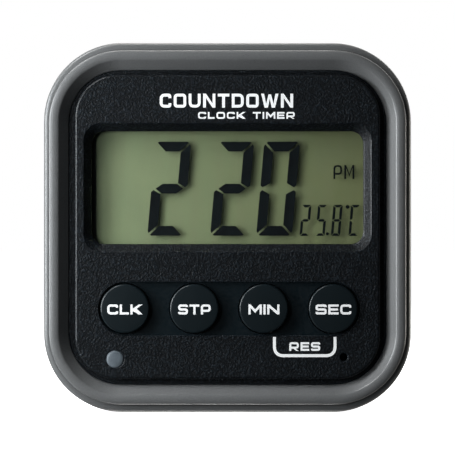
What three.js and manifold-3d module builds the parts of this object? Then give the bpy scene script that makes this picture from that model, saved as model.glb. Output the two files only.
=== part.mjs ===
// A square digital countdown timer with a clock and a thermometer: grey case, black face,
// reflective LCD, four round keys, an alarm lamp, a fold-out stand and a battery bay.
//
// Everything is drawn in the face frame: x to the right, y up from the bottom edge of the case,
// z towards the person who reads the display, millimetres. The last lines turn it so that the
// face looks along -Y and the case stands on its bottom edge with +Z up.
import * as THREE from "three";
import { mergeVertices } from "three/addons/utils/BufferGeometryUtils.js";
import Module from "manifold-3d";

const wasm = await Module();
wasm.setup();

// ---------------------------------------------------------------- driving dimensions

const CASE_W = 70;
const CASE_H = 70.4;
const CASE_D = 23;
const CASE_R = 15; // corner radius of the outline
const GAP = 0.1; // clearance between pieces that rest on each other
const CORNER_STEPS = 4; // each corner gets twice as many facets

const MID_Y = CASE_H / 2;
const FRONT = CASE_D / 2; // crest of the bezel
const BACK = -CASE_D / 2;

// Rear housing
const WALL = 1.9;
const FLOOR = 1.8;
const BACK_ROUND = 2.6;
const RIM_ROUND = 0.75;
const RIM_Z = FRONT - 1.3;
const INSIDE_Z = BACK + FLOOR;

// Front bezel: a ring with a gently domed crest and a slope that falls to the black face
const BEZEL_W = CASE_W - 2;
const BEZEL_H = CASE_H - 3;
const BEZEL_R = CASE_R - 1.25;
const BEZEL_FOOT = FRONT - 3.3; // underside, resting in the housing's rebate
const CREST_IN = 0.96; // inset of the highest line
const CREST_ROUND = 2.05; // radius of the dome
const CREST_TILT = 20; // how far the dome reaches to each side of that line, degrees
const EDGE_ROUND = 0.4; // radius of the outer edge
const SLOPE_ROUND = 0.5; // radius between the dome and the slope
const SLOPE_TILT = 47; // steepness of the slope, degrees
const SLOPE_FOOT = 3.65; // inset where the slope ends
const SLOPE_FOOT_Z = FRONT - 2.2;
const LEDGE_IN = 6.15; // inset of the ledge that carries the face panel
const LEDGE_TOP = FRONT - 3.5;
const LEDGE_THICK = 1.3;

// Face panel
const PLATEAU_W = 57.2;
const PLATEAU_H = 57.1;
const PLATEAU_R = 7.6;
const PLATEAU_Y = MID_Y + 0.1;
const PLATEAU_Z = FRONT - 0.8;
const PLATEAU_ROUND = 0.7;
const FLANGE_Z = FRONT - 2.4; // floor of the groove between bezel and plateau
const PANEL_BACK = LEDGE_TOP + GAP;

// Display window and liquid crystal display
const WINDOW_Y = 42.8;
const WINDOW_W = 51.8;
const WINDOW_H = 21.5;
const WINDOW_R = 2.4;
const WINDOW_FLARE = 1.5; // how much wider the mouth is on each side
const WINDOW_LIP_Z = PLATEAU_Z - 1.2;
const WINDOW_LIP = 0.3; // straight wall below the flare
const POCKET_Z = WINDOW_LIP_Z - WINDOW_LIP; // the display sits in a pocket in the panel's back
const POCKET_GAP = 0.3; // room round the display in that pocket
const LENS_THICK = 0.3;
const LENS_Z = POCKET_Z - 0.05; // front of the clear window
const GLASS_W = 54.4;
const GLASS_H = 25.2;
const GLASS_THICK = 0.55;
const GLASS_TAB = 2; // the front glass stands this much above the rear one
const LCD_Z = LENS_Z - LENS_THICK - 0.05; // front of the display
const REAR_GLASS_Z = LCD_Z - GLASS_THICK - 0.05;
const REFLECTOR_Z = REAR_GLASS_Z - GLASS_THICK - 0.05;
const REFLECTOR_THICK = 0.25;

// Keys
const KEY_R = 4.67;
const KEY_PITCH = 13.22;
const KEY_ROW_X = 0.3;
const KEY_ROW_Y = 19.74;
const KEY_TOP = PLATEAU_Z + 0.6;
const KEY_CROWN = 0.08;
const KEY_EDGE = 0.35; // radius round the top
const KEY_FLANGE = 0.8; // how far the flange under the panel stands out
const KEY_STEM_R = 2.2;
const TROUGH_DEPTH = 0.8;
const TROUGH_GAP = 0.45;
const KEY_NAMES = ["clock_button", "stop_button", "minute_button", "second_button"];

// Lamp and sensor hole in the face
const LAMP = { x: -21.4, y: 10.1, r: 1.67 };
const SENSOR = { x: 22.15, y: 10.5, r: 0.7 };

// Circuit board
const BOARD_Z = FRONT - 7.9; // front face of the board
const BOARD_THICK = 1.2;
const BOARD_BACK = BOARD_Z - BOARD_THICK;
const BOARD_W = 59;
const BOARD_H = 58;

// Battery bay for two AAA cells, in the upper half of the back
const CELL_R = 5.25;
const CELL_L = 44.5;
const BAY_W = 51.2;
const BAY_H = 21.8;
const BAY_Y = 45.7;
const BAY_WALL = 1.6;
const BAY_TOP = 1.1; // face of the bay's end wall, towards the back
const CELL_Z = INSIDE_Z + 0.1 + CELL_R;
const CELL_PITCH = 10.9;
const DOOR_W = 53;
const DOOR_H = 23.4;
const DOOR_THICK = 1.5;
const DOOR_GAP = 0.2;
const DOOR_HINGE_Y = BAY_Y + DOOR_H / 2 - DOOR_THICK / 2;
const DOOR_HINGE_Z = BACK + DOOR_THICK / 2;
const HOOKS_X = [-18, 18];
const HOOK_HALF_W = 2.4;

// Fold-out stand, in the lower half of the back
const STAND_W = 26;
const STAND_HINGE_Y = 30.2;
const STAND_HINGE_Z = BACK + 2;
const STAND_BARREL_R = 1.8;
const STAND_THICK = 2.2;
const STAND_FOOT_Y = 4;
const STAND_GAP = 0.35;
const PIN_R = 0.75;

// Slide switch, sound outlet and magnets on the back
const SWITCH = { x: -22.3, y: 22.5, travel: 4 };
const PIEZO = { x: 22.6, y: 22.9, r: 7 };
const MAGNETS = [-11, 11].map((x) => ({ x, y: 62.8, r: 4, thick: 2.4 }));

// Fasteners
const CASE_SCREWS = [
  { name: "case_screw_lower_left", x: -27, y: 13 },
  { name: "case_screw_lower_right", x: 27, y: 13 },
  { name: "case_screw_upper_left", x: -25.3, y: 61.1 },
  { name: "case_screw_upper_right", x: 25.3, y: 61.1 },
];
const BOARD_SCREWS = [
  { name: "board_screw_lower_left", x: -27, y: 26.9 },
  { name: "board_screw_lower_right", x: 27, y: 26.9 },
  { name: "board_screw_upper_left", x: -15, y: 61.8 },
  { name: "board_screw_upper_right", x: 15, y: 61.8 },
];
const POST_R = 3.3;
const BOSS_R = 2.4;
const POST_TOP = BOARD_BACK - 0.5; // joint between a rear post and a front boss
const HEAD_SEAT = BACK + 5.5;
const BOARD_BOSS_R = 1.9;

// ---------------------------------------------------------------- materials

const plastic = (color, roughness) =>
  new THREE.MeshStandardMaterial({ color, roughness, metalness: 0 });
const metal = (color, roughness) =>
  new THREE.MeshStandardMaterial({ color, roughness, metalness: 1 });

const GREY_CASE = plastic(0x5c5e60, 0.42);
const BLACK_FACE = plastic(0x14171b, 0.55);
const KEY_BLACK = plastic(0x10171b, 0.5);
const CLEAR = new THREE.MeshStandardMaterial({
  color: 0xe8eee8,
  roughness: 0.05,
  transparent: true,
  opacity: 0.25,
});
const REFLECTOR = plastic(0x84906a, 0.6);
const HOLDER = plastic(0xd8d8d4, 0.6);
const RUBBER = plastic(0x2a2c2e, 0.85);
const SILICONE = plastic(0xb8bcc0, 0.7);
const BOARD_GREEN = plastic(0x1f5a36, 0.5);
const EPOXY = plastic(0x0c0c0d, 0.35);
const FROSTED = plastic(0x6d7278, 0.4);
const STEEL = metal(0xb9bcc0, 0.35);
const NICKEL = metal(0xc9c8c2, 0.25);
const BRASS = metal(0xb8953f, 0.35);
const CELL_WRAP = plastic(0x2e3a4a, 0.35);
const RED_WIRE = plastic(0x9c1c18, 0.5);
const BLACK_WIRE = plastic(0x111111, 0.5);

// ---------------------------------------------------------------- solids and booleans

function toSolid(geometry) {
  const bare = new THREE.BufferGeometry();
  bare.setAttribute("position", geometry.getAttribute("position"));
  bare.setIndex(geometry.index);
  const merged = mergeVertices(bare, 1e-4);
  const index = merged.index.array;
  const triangles = [];
  for (let i = 0; i < index.length; i += 3) {
    const [a, b, c] = [index[i], index[i + 1], index[i + 2]];
    if (a !== b && b !== c && c !== a) triangles.push(a, b, c);
  }
  return new wasm.Manifold(
    new wasm.Mesh({
      numProp: 3,
      vertProperties: new Float32Array(merged.attributes.position.array),
      triVerts: new Uint32Array(triangles),
    }),
  );
}

function toGeometry(solid) {
  const mesh = solid.getMesh();
  const geometry = new THREE.BufferGeometry();
  geometry.setAttribute("position", new THREE.BufferAttribute(mesh.vertProperties, 3));
  geometry.setIndex(new THREE.BufferAttribute(mesh.triVerts, 1));
  geometry.computeVertexNormals();
  return geometry;
}

const join = (...pieces) =>
  toGeometry(pieces.map(toSolid).reduce((whole, piece) => whole.add(piece)));

const cut = (base, ...tools) =>
  toGeometry(tools.map(toSolid).reduce((rest, tool) => rest.subtract(tool), toSolid(base)));

// ---------------------------------------------------------------- shapes

function roundedRect(w, h, r, cx = 0, cy = 0) {
  const [left, right, low, high] = [cx - w / 2, cx + w / 2, cy - h / 2, cy + h / 2];
  const shape = new THREE.Shape();
  shape.moveTo(left + r, low);
  shape.lineTo(right - r, low);
  shape.absarc(right - r, low + r, r, -Math.PI / 2, 0);
  shape.lineTo(right, high - r);
  shape.absarc(right - r, high - r, r, 0, Math.PI / 2);
  shape.lineTo(left + r, high);
  shape.absarc(left + r, high - r, r, Math.PI / 2, Math.PI);
  shape.lineTo(left, low + r);
  shape.absarc(left + r, low + r, r, Math.PI, 1.5 * Math.PI);
  return shape;
}

// A flat shape made thick from zLow to zHigh.
function slab(shape, zLow, zHigh, curveSegments = CORNER_STEPS) {
  return new THREE.ExtrudeGeometry(shape, {
    depth: zHigh - zLow,
    bevelEnabled: false,
    curveSegments,
  }).translate(0, 0, zLow);
}

const box = (x0, x1, y0, y1, z0, z1) =>
  new THREE.BoxGeometry(x1 - x0, y1 - y0, z1 - z0).translate(
    (x0 + x1) / 2,
    (y0 + y1) / 2,
    (z0 + z1) / 2,
  );

// A round bar along z.
const rod = (r, zLow, zHigh, x = 0, y = 0, segments = 16) =>
  new THREE.CylinderGeometry(r, r, zHigh - zLow, segments)
    .rotateX(Math.PI / 2)
    .translate(x, y, (zLow + zHigh) / 2);

// A round bar along x.
const crossRod = (r, x0, x1, y, z, segments = 16) =>
  new THREE.CylinderGeometry(r, r, x1 - x0, segments)
    .rotateZ(Math.PI / 2)
    .translate((x0 + x1) / 2, y, z);

// A body of revolution about z: profile points are [radius, z], starting and ending on the axis.
const turned = (profile, x = 0, y = 0, segments = 16) =>
  new THREE.LatheGeometry(
    profile.map(([r, z]) => new THREE.Vector2(r, z)),
    segments,
  )
    .rotateX(Math.PI / 2)
    .translate(x, y, 0);

// Points of an arc as [u, v] pairs, angles in degrees.
function arc(cu, cv, r, from, to, steps = 4) {
  return Array.from({ length: steps + 1 }, (_, i) => {
    const a = THREE.MathUtils.degToRad(from + ((to - from) * i) / steps);
    return [cu + r * Math.cos(a), cv + r * Math.sin(a)];
  });
}

// Skin through stacked rounded rectangles. Each profile point is [inset, z] from the base outline,
// with a corner radius of its own where it isn't concentric with the base outline.
// A closed profile makes a ring; an open one is capped into a solid block.
function swept({ w, h, r, y = MID_Y }, profile, closed) {
  const rings = profile.map(([inset, z, cornerR = r - inset]) =>
    roundedRect(w - 2 * inset, h - 2 * inset, cornerR, 0, y)
      .getPoints(CORNER_STEPS)
      .slice(0, -1)
      .map((p) => [p.x, p.y, z]),
  );
  const count = rings[0].length;
  const points = rings.flat();
  const index = [];
  const at = (ring, i) => (ring % rings.length) * count + (i % count);
  const bands = closed ? rings.length : rings.length - 1;
  for (let ring = 0; ring < bands; ring++) {
    for (let i = 0; i < count; i++) {
      const [a, b] = [at(ring, i), at(ring, i + 1)];
      const [c, d] = [at(ring + 1, i + 1), at(ring + 1, i)];
      index.push(a, b, c, a, c, d);
    }
  }
  if (!closed) {
    const last = rings.length - 1;
    const low = points.push([0, y, profile[0][1]]) - 1;
    const high = points.push([0, y, profile[last][1]]) - 1;
    for (let i = 0; i < count; i++) {
      index.push(low, at(0, i + 1), at(0, i));
      index.push(high, at(last, i), at(last, i + 1));
    }
  }
  const geometry = new THREE.BufferGeometry();
  geometry.setAttribute("position", new THREE.Float32BufferAttribute(points.flat(), 3));
  geometry.setIndex(index);
  return geometry;
}

// A round wire along a curve.
function wire(points, radius, steps, halfSides = 4) {
  const section = new THREE.Shape();
  section.absarc(0, 0, radius, 0, 2 * Math.PI);
  return new THREE.ExtrudeGeometry(section, {
    steps,
    curveSegments: halfSides,
    extrudePath: new THREE.CatmullRomCurve3(points),
  });
}

// ---------------------------------------------------------------- case

const caseOutline = { w: CASE_W, h: CASE_H, r: CASE_R };
const bezelOutline = { w: BEZEL_W, h: BEZEL_H, r: BEZEL_R };
const bayShape = (grow) => roundedRect(BAY_W + 2 * grow, BAY_H + 2 * grow, 0.8 + grow, 0, BAY_Y);

// Pocket in the back that takes the folded stand, `grow` larger all round.
const standPocket = (grow, depth) =>
  slab(
    roundedRect(
      STAND_W + 2 * (STAND_GAP + grow),
      STAND_HINGE_Y + STAND_BARREL_R - STAND_FOOT_Y + 2 * (STAND_GAP + grow),
      2 + grow,
      0,
      (STAND_HINGE_Y + STAND_BARREL_R + STAND_FOOT_Y) / 2,
    ),
    grow ? INSIDE_Z - 0.5 : BACK - 1,
    BACK + depth,
  );

const hingeTrough = (grow) =>
  box(
    -STAND_W / 2 - STAND_GAP - 2 * grow,
    STAND_W / 2 + STAND_GAP + 2 * grow,
    STAND_HINGE_Y - STAND_BARREL_R - STAND_GAP - grow,
    STAND_HINGE_Y + STAND_BARREL_R + STAND_GAP + grow,
    grow ? INSIDE_Z - 0.5 : BACK - 1,
    STAND_HINGE_Z + STAND_BARREL_R + STAND_GAP + grow,
  );

function rearHousing() {
  const shell = swept(caseOutline, [
    ...arc(BACK_ROUND, BACK + BACK_ROUND, BACK_ROUND, 270, 180, 4),
    ...arc(RIM_ROUND, RIM_Z - RIM_ROUND, RIM_ROUND, 180, 90, 2),
  ]);
  const cavity = swept(caseOutline, [
    [WALL, INSIDE_Z],
    [WALL, FRONT],
  ]);
  const rebate = swept(
    { w: BEZEL_W + 2 * GAP, h: BEZEL_H + 2 * GAP, r: BEZEL_R + GAP },
    [
      [0, BEZEL_FOOT - GAP],
      [0, FRONT],
    ],
  );
  const soundSlots = [-2, -1, 0, 1, 2].map((i) =>
    slab(
      roundedRect(1.2, 7 - Math.abs(i), 0.6, PIEZO.x + 2.4 * i, PIEZO.y),
      BACK - 1,
      INSIDE_Z + 1,
      2,
    ),
  );
  const piezoSeat = cut(
    rod(PIEZO.r + 1, INSIDE_Z - 0.5, INSIDE_Z + 2.2, PIEZO.x, PIEZO.y, 24),
    rod(PIEZO.r + 0.15, INSIDE_Z + 1, INSIDE_Z + 4, PIEZO.x, PIEZO.y, 24),
    rod(PIEZO.r - 1.2, INSIDE_Z - 1, INSIDE_Z + 4, PIEZO.x, PIEZO.y, 24),
  );
  const magnetCups = MAGNETS.map((m) =>
    rod(m.r + 1, INSIDE_Z - 0.5, BACK + m.thick + 1, m.x, m.y, 24),
  );
  const posts = CASE_SCREWS.map((s) => rod(POST_R, INSIDE_Z - 0.5, POST_TOP, s.x, s.y, 14));
  const withInsides = join(
    cut(shell, cavity, rebate),
    slab(bayShape(BAY_WALL), INSIDE_Z - 0.5, BAY_TOP + 1),
    standPocket(1.4, 4.4),
    hingeTrough(1.3),
    piezoSeat,
    ...magnetCups,
    ...posts,
  );
  const doorRebate = slab(
    roundedRect(DOOR_W + 2 * DOOR_GAP, DOOR_H + 2 * DOOR_GAP, 0.2, 0, BAY_Y),
    BACK - 1,
    BACK + DOOR_THICK + GAP,
  );
  const bayTop = BAY_Y + BAY_H / 2;
  const slotHalfW = HOOK_HALF_W + 0.4;
  const hookSlots = HOOKS_X.flatMap((x) => [
    box(x - slotHalfW, x + slotHalfW, bayTop - 1, bayTop + 2.6, INSIDE_Z, INSIDE_Z + 2.6),
    box(x - slotHalfW, x + slotHalfW, bayTop - 1, bayTop + 0.4, BACK + 1, INSIDE_Z + 1),
  ]);
  const screwHoles = CASE_SCREWS.flatMap((s) => [
    rod(1.2, BACK - 1, FRONT, s.x, s.y, 12),
    rod(2.45, BACK - 1, HEAD_SEAT, s.x, s.y, 14),
  ]);
  const magnetWells = MAGNETS.map((m) =>
    rod(m.r + GAP, BACK - 1, BACK + m.thick + GAP, m.x, m.y, 24),
  );
  const thumbNotches = [
    new THREE.SphereGeometry(6, 16, 12).translate(0, BAY_Y - DOOR_H / 2 - 0.6, BACK - 4.9),
    new THREE.SphereGeometry(6, 16, 12).translate(0, STAND_FOOT_Y - 0.2, BACK - 4.6),
  ];
  const switchWell = slab(
    roundedRect(10.4, 5, 1, SWITCH.x + SWITCH.travel / 2, SWITCH.y),
    BACK - 1,
    BACK + 0.9,
  );
  const switchSlot = slab(
    roundedRect(SWITCH.travel + 2.6, 2.2, 0.4, SWITCH.x + SWITCH.travel / 2, SWITCH.y),
    BACK - 1,
    INSIDE_Z + 1,
    3,
  );
  return cut(
    withInsides,
    slab(bayShape(0), BACK - 1, BAY_TOP),
    doorRebate,
    ...hookSlots,
    ...screwHoles,
    ...magnetWells,
    ...thumbNotches,
    standPocket(0, STAND_THICK + 0.2 + STAND_GAP),
    hingeTrough(0),
    crossRod(PIN_R + 0.05, -15.6, 15.6, STAND_HINGE_Y, STAND_HINGE_Z),
    ...soundSlots,
    switchWell,
    switchSlot,
  );
}

// The bezel's section from its outer edge over the dome to the top of the slope, as [inset, z].
function crestProfile() {
  const tilt = THREE.MathUtils.degToRad(CREST_TILT);
  const reach = CREST_ROUND * Math.sin(tilt);
  const endZ = FRONT - CREST_ROUND * (1 - Math.cos(tilt));
  const edgeIn = CREST_IN - reach + EDGE_ROUND * Math.sin(tilt);
  const slopeIn = CREST_IN + reach - SLOPE_ROUND * Math.sin(tilt);
  return [
    ...arc(edgeIn, endZ - EDGE_ROUND * Math.cos(tilt), EDGE_ROUND, 180, 90 + CREST_TILT, 2),
    ...arc(CREST_IN, FRONT - CREST_ROUND, CREST_ROUND, 90 + CREST_TILT, 90 - CREST_TILT, 4).slice(1),
    ...arc(
      slopeIn,
      endZ - SLOPE_ROUND * Math.cos(tilt),
      SLOPE_ROUND,
      90 - CREST_TILT,
      90 - SLOPE_TILT,
      2,
    ).slice(1),
  ];
}

function frontBezel() {
  const ring = swept(
    bezelOutline,
    [
      [0, BEZEL_FOOT],
      ...crestProfile(),
      [SLOPE_FOOT, SLOPE_FOOT_Z],
      [SLOPE_FOOT, LEDGE_TOP],
      [LEDGE_IN, LEDGE_TOP],
      [LEDGE_IN, LEDGE_TOP - LEDGE_THICK],
      [SLOPE_FOOT - 1.6, LEDGE_TOP - LEDGE_THICK],
      [SLOPE_FOOT - 1.6, BEZEL_FOOT],
    ],
    true,
  );
  const top = LEDGE_TOP - 0.2;
  const bosses = CASE_SCREWS.map((s) => rod(BOSS_R, POST_TOP + GAP, top, s.x, s.y, 12));
  const boardBosses = BOARD_SCREWS.map((s) => rod(BOARD_BOSS_R, BOARD_Z + GAP, top, s.x, s.y, 12));
  const pilots = CASE_SCREWS.map((s) => rod(1.05, POST_TOP - 1, top - 1, s.x, s.y, 10));
  const boardPilots = BOARD_SCREWS.map((s) => rod(0.75, BOARD_Z - 1, top - 0.8, s.x, s.y, 8));
  return cut(join(ring, ...bosses, ...boardBosses), ...pilots, ...boardPilots);
}

const troughShape = () =>
  roundedRect(
    3 * KEY_PITCH + 2 * (KEY_R + TROUGH_GAP),
    2 * (KEY_R + TROUGH_GAP),
    KEY_R + TROUGH_GAP - 0.001,
    KEY_ROW_X,
    KEY_ROW_Y,
  );

const keyX = (i) => KEY_ROW_X + (i - 1.5) * KEY_PITCH;

function facePanel() {
  const edge = SLOPE_FOOT + GAP;
  const flange = swept(
    { w: BEZEL_W - 2 * edge, h: BEZEL_H - 2 * edge, r: BEZEL_R - edge },
    [
      [0, PANEL_BACK],
      [0, FLANGE_Z],
    ],
  );
  const plateau = swept(
    {
      w: PLATEAU_W + 2 * PLATEAU_ROUND,
      h: PLATEAU_H + 2 * PLATEAU_ROUND,
      r: PLATEAU_R + PLATEAU_ROUND,
      y: PLATEAU_Y,
    },
    [
      [0, PANEL_BACK],
      [0, FLANGE_Z + 0.2],
      ...arc(PLATEAU_ROUND, PLATEAU_Z - PLATEAU_ROUND, PLATEAU_ROUND, 180, 90, 3),
    ],
  );
  const mouth = swept(
    {
      w: WINDOW_W + 2 * WINDOW_FLARE,
      h: WINDOW_H + 2 * WINDOW_FLARE,
      r: WINDOW_R + 0.9,
      y: WINDOW_Y,
    },
    [
      [WINDOW_FLARE, WINDOW_LIP_Z, WINDOW_R],
      [0, PLATEAU_Z],
      [-0.5, PLATEAU_Z + 0.5],
    ],
  );
  const window = slab(
    roundedRect(WINDOW_W, WINDOW_H, WINDOW_R, 0, WINDOW_Y),
    PANEL_BACK - 1,
    WINDOW_LIP_Z + 0.2,
  );
  const pocket = box(
    -GLASS_W / 2 - POCKET_GAP,
    GLASS_W / 2 + POCKET_GAP,
    WINDOW_Y - GLASS_H / 2 - POCKET_GAP,
    WINDOW_Y + GLASS_H / 2 + GLASS_TAB + POCKET_GAP,
    PANEL_BACK - 1,
    POCKET_Z,
  );
  const trough = slab(troughShape(), PLATEAU_Z - TROUGH_DEPTH, FRONT);
  const keyHoles = KEY_NAMES.map((_, i) =>
    rod(KEY_R + 0.2, PANEL_BACK - 1, FRONT, keyX(i), KEY_ROW_Y, 24),
  );
  const sensorHole = turned(
    [
      [0, PANEL_BACK - 1],
      [SENSOR.r, PANEL_BACK - 1],
      [SENSOR.r, PLATEAU_Z - 0.25],
      [SENSOR.r + 0.3, PLATEAU_Z + 0.05],
      [0, PLATEAU_Z + 0.05],
    ],
    SENSOR.x,
    SENSOR.y,
    16,
  );
  return cut(
    join(flange, plateau),
    mouth,
    window,
    pocket,
    trough,
    ...keyHoles,
    rod(LAMP.r + 0.06, PANEL_BACK - 1, FRONT, LAMP.x, LAMP.y),
    sensorHole,
  );
}

// ---------------------------------------------------------------- keys

function keyCap(i) {
  return turned(
    [
      [0, PANEL_BACK - 2.75],
      [KEY_STEM_R, PANEL_BACK - 2.75],
      [KEY_STEM_R, PANEL_BACK - 1],
      [KEY_R + KEY_FLANGE, PANEL_BACK - 1],
      [KEY_R + KEY_FLANGE, PANEL_BACK - GAP],
      [KEY_R, PANEL_BACK - GAP],
      ...arc(KEY_R - KEY_EDGE, KEY_TOP - KEY_EDGE, KEY_EDGE, 0, 90, 2),
      [KEY_R / 2, KEY_TOP + 0.7 * KEY_CROWN],
      [0, KEY_TOP + KEY_CROWN],
    ],
    keyX(i),
    KEY_ROW_Y,
    24,
  );
}

// Silicone sheet with a hollow dome under each key.
function keyDomeSheet() {
  const low = BOARD_Z + 0.05;
  const sheet = slab(roundedRect(3 * KEY_PITCH + 9, 10.2, 1.5, KEY_ROW_X, KEY_ROW_Y), low, low + 0.8);
  const dome = (i, shrink) =>
    turned(
      [
        [0, low - shrink],
        [3.9 - shrink, low - shrink],
        [3.9 - shrink, low + 0.8 - shrink],
        [2.4 - shrink, PANEL_BACK - 2.85 - shrink],
        [0, PANEL_BACK - 2.85 - shrink],
      ],
      keyX(i),
      KEY_ROW_Y,
      12,
    );
  const domes = KEY_NAMES.map((_, i) => dome(i, 0));
  const hollows = KEY_NAMES.map((_, i) => dome(i, 0.6));
  return cut(join(sheet, ...domes), ...hollows);
}

// ---------------------------------------------------------------- display

// A plate as large as the display, `extra` taller at the top.
const displayPlate = (front, thick, extra = 0) =>
  box(
    -GLASS_W / 2,
    GLASS_W / 2,
    WINDOW_Y - GLASS_H / 2,
    WINDOW_Y + GLASS_H / 2 + extra,
    front - thick,
    front,
  );

// White holder: a base behind the bezel's ledge and a smaller step that backs the display.
function lcdFrame() {
  const tabTop = WINDOW_Y + GLASS_H / 2 + GLASS_TAB;
  const y = WINDOW_Y + GLASS_TAB / 2;
  const low = BOARD_Z + GAP;
  const middle = LEDGE_TOP - LEDGE_THICK - GAP;
  const base = slab(roundedRect(GLASS_W + 3.2, GLASS_H + GLASS_TAB + 2, 1.5, 0, y), low, middle);
  const step = slab(
    roundedRect(GLASS_W + 0.2, GLASS_H + GLASS_TAB + 1, 1.5, 0, y),
    middle - 1,
    REFLECTOR_Z - REFLECTOR_THICK - 0.05,
  );
  const through = box(-24.8, 24.8, WINDOW_Y - 9.5, WINDOW_Y + 9.5, low - 1, REFLECTOR_Z);
  const stripSlot = box(-25.2, 25.2, tabTop - 1.9, tabTop - 0.1, low - 1, REFLECTOR_Z);
  return cut(join(base, step), through, stripSlot);
}

const zebraStrip = () =>
  box(
    -25,
    25,
    WINDOW_Y + GLASS_H / 2 + 0.3,
    WINDOW_Y + GLASS_H / 2 + GLASS_TAB - 0.3,
    BOARD_Z + 0.05,
    LCD_Z - GLASS_THICK - 0.05,
  );

// ---------------------------------------------------------------- electronics

function mainBoard() {
  const notches = CASE_SCREWS.map((s) => rod(BOSS_R + 0.6, BOARD_BACK - 1, BOARD_Z + 1, s.x, s.y));
  const corners = CASE_SCREWS.map((s) =>
    box(
      s.x > 0 ? s.x : s.x - 8,
      s.x > 0 ? s.x + 8 : s.x,
      s.y > MID_Y ? s.y - 3 : s.y - 8,
      s.y > MID_Y ? s.y + 8 : s.y + 3,
      BOARD_BACK - 1,
      BOARD_Z + 1,
    ),
  );
  const holes = BOARD_SCREWS.map((s) => rod(0.95, BOARD_BACK - 1, BOARD_Z + 1, s.x, s.y, 12));
  return cut(
    slab(roundedRect(BOARD_W, BOARD_H, 7, 0, MID_Y), BOARD_BACK, BOARD_Z),
    ...notches,
    ...corners,
    ...holes,
  );
}

const ledDiffuser = () =>
  turned(
    [
      [0, PANEL_BACK - 0.9],
      [LAMP.r + 0.6, PANEL_BACK - 0.9],
      [LAMP.r + 0.6, PANEL_BACK - GAP],
      [LAMP.r, PANEL_BACK - GAP],
      [LAMP.r, PLATEAU_Z - 0.1],
      [LAMP.r - 0.25, PLATEAU_Z + 0.08],
      [0, PLATEAU_Z + 0.2],
    ],
    LAMP.x,
    LAMP.y,
  );

function alarmLed() {
  const low = BOARD_Z + 0.4;
  const body = turned(
    [
      [0, low],
      [1.7, low],
      [1.7, low + 0.6],
      [1.4, low + 0.6],
      ...arc(0, PANEL_BACK - 2.4, 1.4, 0, 90, 4),
    ],
    LAMP.x,
    LAMP.y,
    12,
  );
  const legs = [-0.64, 0.64].map((dx) =>
    box(LAMP.x + dx - 0.2, LAMP.x + dx + 0.2, LAMP.y - 0.2, LAMP.y + 0.2, BOARD_Z + 0.05, low + 0.3),
  );
  return join(body, ...legs);
}

function temperatureSensor() {
  const bead = new THREE.SphereGeometry(1, 10, 6).translate(SENSOR.x, SENSOR.y, PANEL_BACK - 1.5);
  const legs = [-0.5, 0.5].map((dx) =>
    box(SENSOR.x + dx - 0.15, SENSOR.x + dx + 0.15, SENSOR.y - 0.15, SENSOR.y + 0.15,
      BOARD_Z + 0.05, PANEL_BACK - 2),
  );
  return join(bead, ...legs);
}

const chipBlob = () =>
  turned(
    [
      [0, BOARD_BACK - 1.6],
      [2.6, BOARD_BACK - 1.45],
      [4.6, BOARD_BACK - 0.9],
      [5.4, BOARD_BACK - 0.05],
      [0, BOARD_BACK - 0.05],
    ],
    2,
    22,
  );

const crystalCan = () => crossRod(1, -14, -8, 24, BOARD_BACK - 1.1, 12);

const capacitor = () => rod(2, BOARD_BACK - 5, BOARD_BACK - 0.05, 12, 14);

function piezoDisc() {
  const seat = INSIDE_Z + 1.05;
  return turned(
    [
      [0, seat],
      [PIEZO.r, seat],
      [PIEZO.r, seat + 0.3],
      [PIEZO.r - 2, seat + 0.3],
      [PIEZO.r - 2, seat + 0.55],
      [0, seat + 0.55],
    ],
    PIEZO.x,
    PIEZO.y,
    24,
  );
}

// A lead from the piezo disc up to the back of the board, with a gentle bow.
function piezoLead(dx, startZ, bow) {
  const [x, y] = [PIEZO.x + dx, PIEZO.y];
  const end = BOARD_BACK - 0.05;
  const rise = end - startZ;
  return wire(
    [
      new THREE.Vector3(x, y, startZ),
      new THREE.Vector3(x, y, startZ + 1.2),
      new THREE.Vector3(x + bow, y - 1.5, startZ + rise / 2),
      new THREE.Vector3(x + bow, y - 2.5, end - 1.2),
      new THREE.Vector3(x + bow, y - 2.5, end),
    ],
    0.45,
    10,
  );
}

const switchBody = () =>
  box(
    SWITCH.x + SWITCH.travel / 2 - 4.5,
    SWITCH.x + SWITCH.travel / 2 + 4.5,
    SWITCH.y - 2.2,
    SWITCH.y + 2.2,
    BOARD_BACK - 3.6,
    BOARD_BACK - 0.05,
  );

// The knob that shows on the back, its long stem, and the fork that moves the switch.
function modeSlider() {
  const { x, y } = SWITCH;
  const ribs = [-1, 0, 1].map((i) =>
    box(x + i * 1.1 - 0.25, x + i * 1.1 + 0.25, y - 1.9, y + 1.9, BACK + 0.1, BACK + 0.4),
  );
  return join(
    slab(roundedRect(5.2, 4, 0.6, x, y), BACK + 0.3, BACK + 0.8, 3),
    ...ribs,
    box(x - 1, x + 1, y - 0.9, y + 0.9, BACK + 0.6, INSIDE_Z + 0.4),
    slab(roundedRect(4.6, 4, 0.6, x, y), INSIDE_Z + 0.1, INSIDE_Z + 1, 3),
    box(x - 0.9, x + 0.9, y - 0.9, y + 0.9, INSIDE_Z + 0.8, BOARD_BACK - 3.8),
  );
}

// ---------------------------------------------------------------- battery bay

function cell(y, plusSide) {
  const length = CELL_L - 0.8;
  const tip = BAY_W / 2 - 0.6;
  const body = new THREE.LatheGeometry(
    [
      [0, 0],
      [CELL_R - 0.4, 0],
      [CELL_R, 0.4],
      [CELL_R, length - 0.4],
      [CELL_R - 0.4, length],
      [1.9, length],
      [1.9, length + 0.7],
      [1.6, length + 0.8],
      [0, length + 0.8],
    ].map(([r, z]) => new THREE.Vector2(r, z)),
    16,
  );
  body.rotateZ(plusSide > 0 ? -Math.PI / 2 : Math.PI / 2);
  return body.translate(plusSide * (tip - CELL_L), y, CELL_Z);
}

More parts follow.
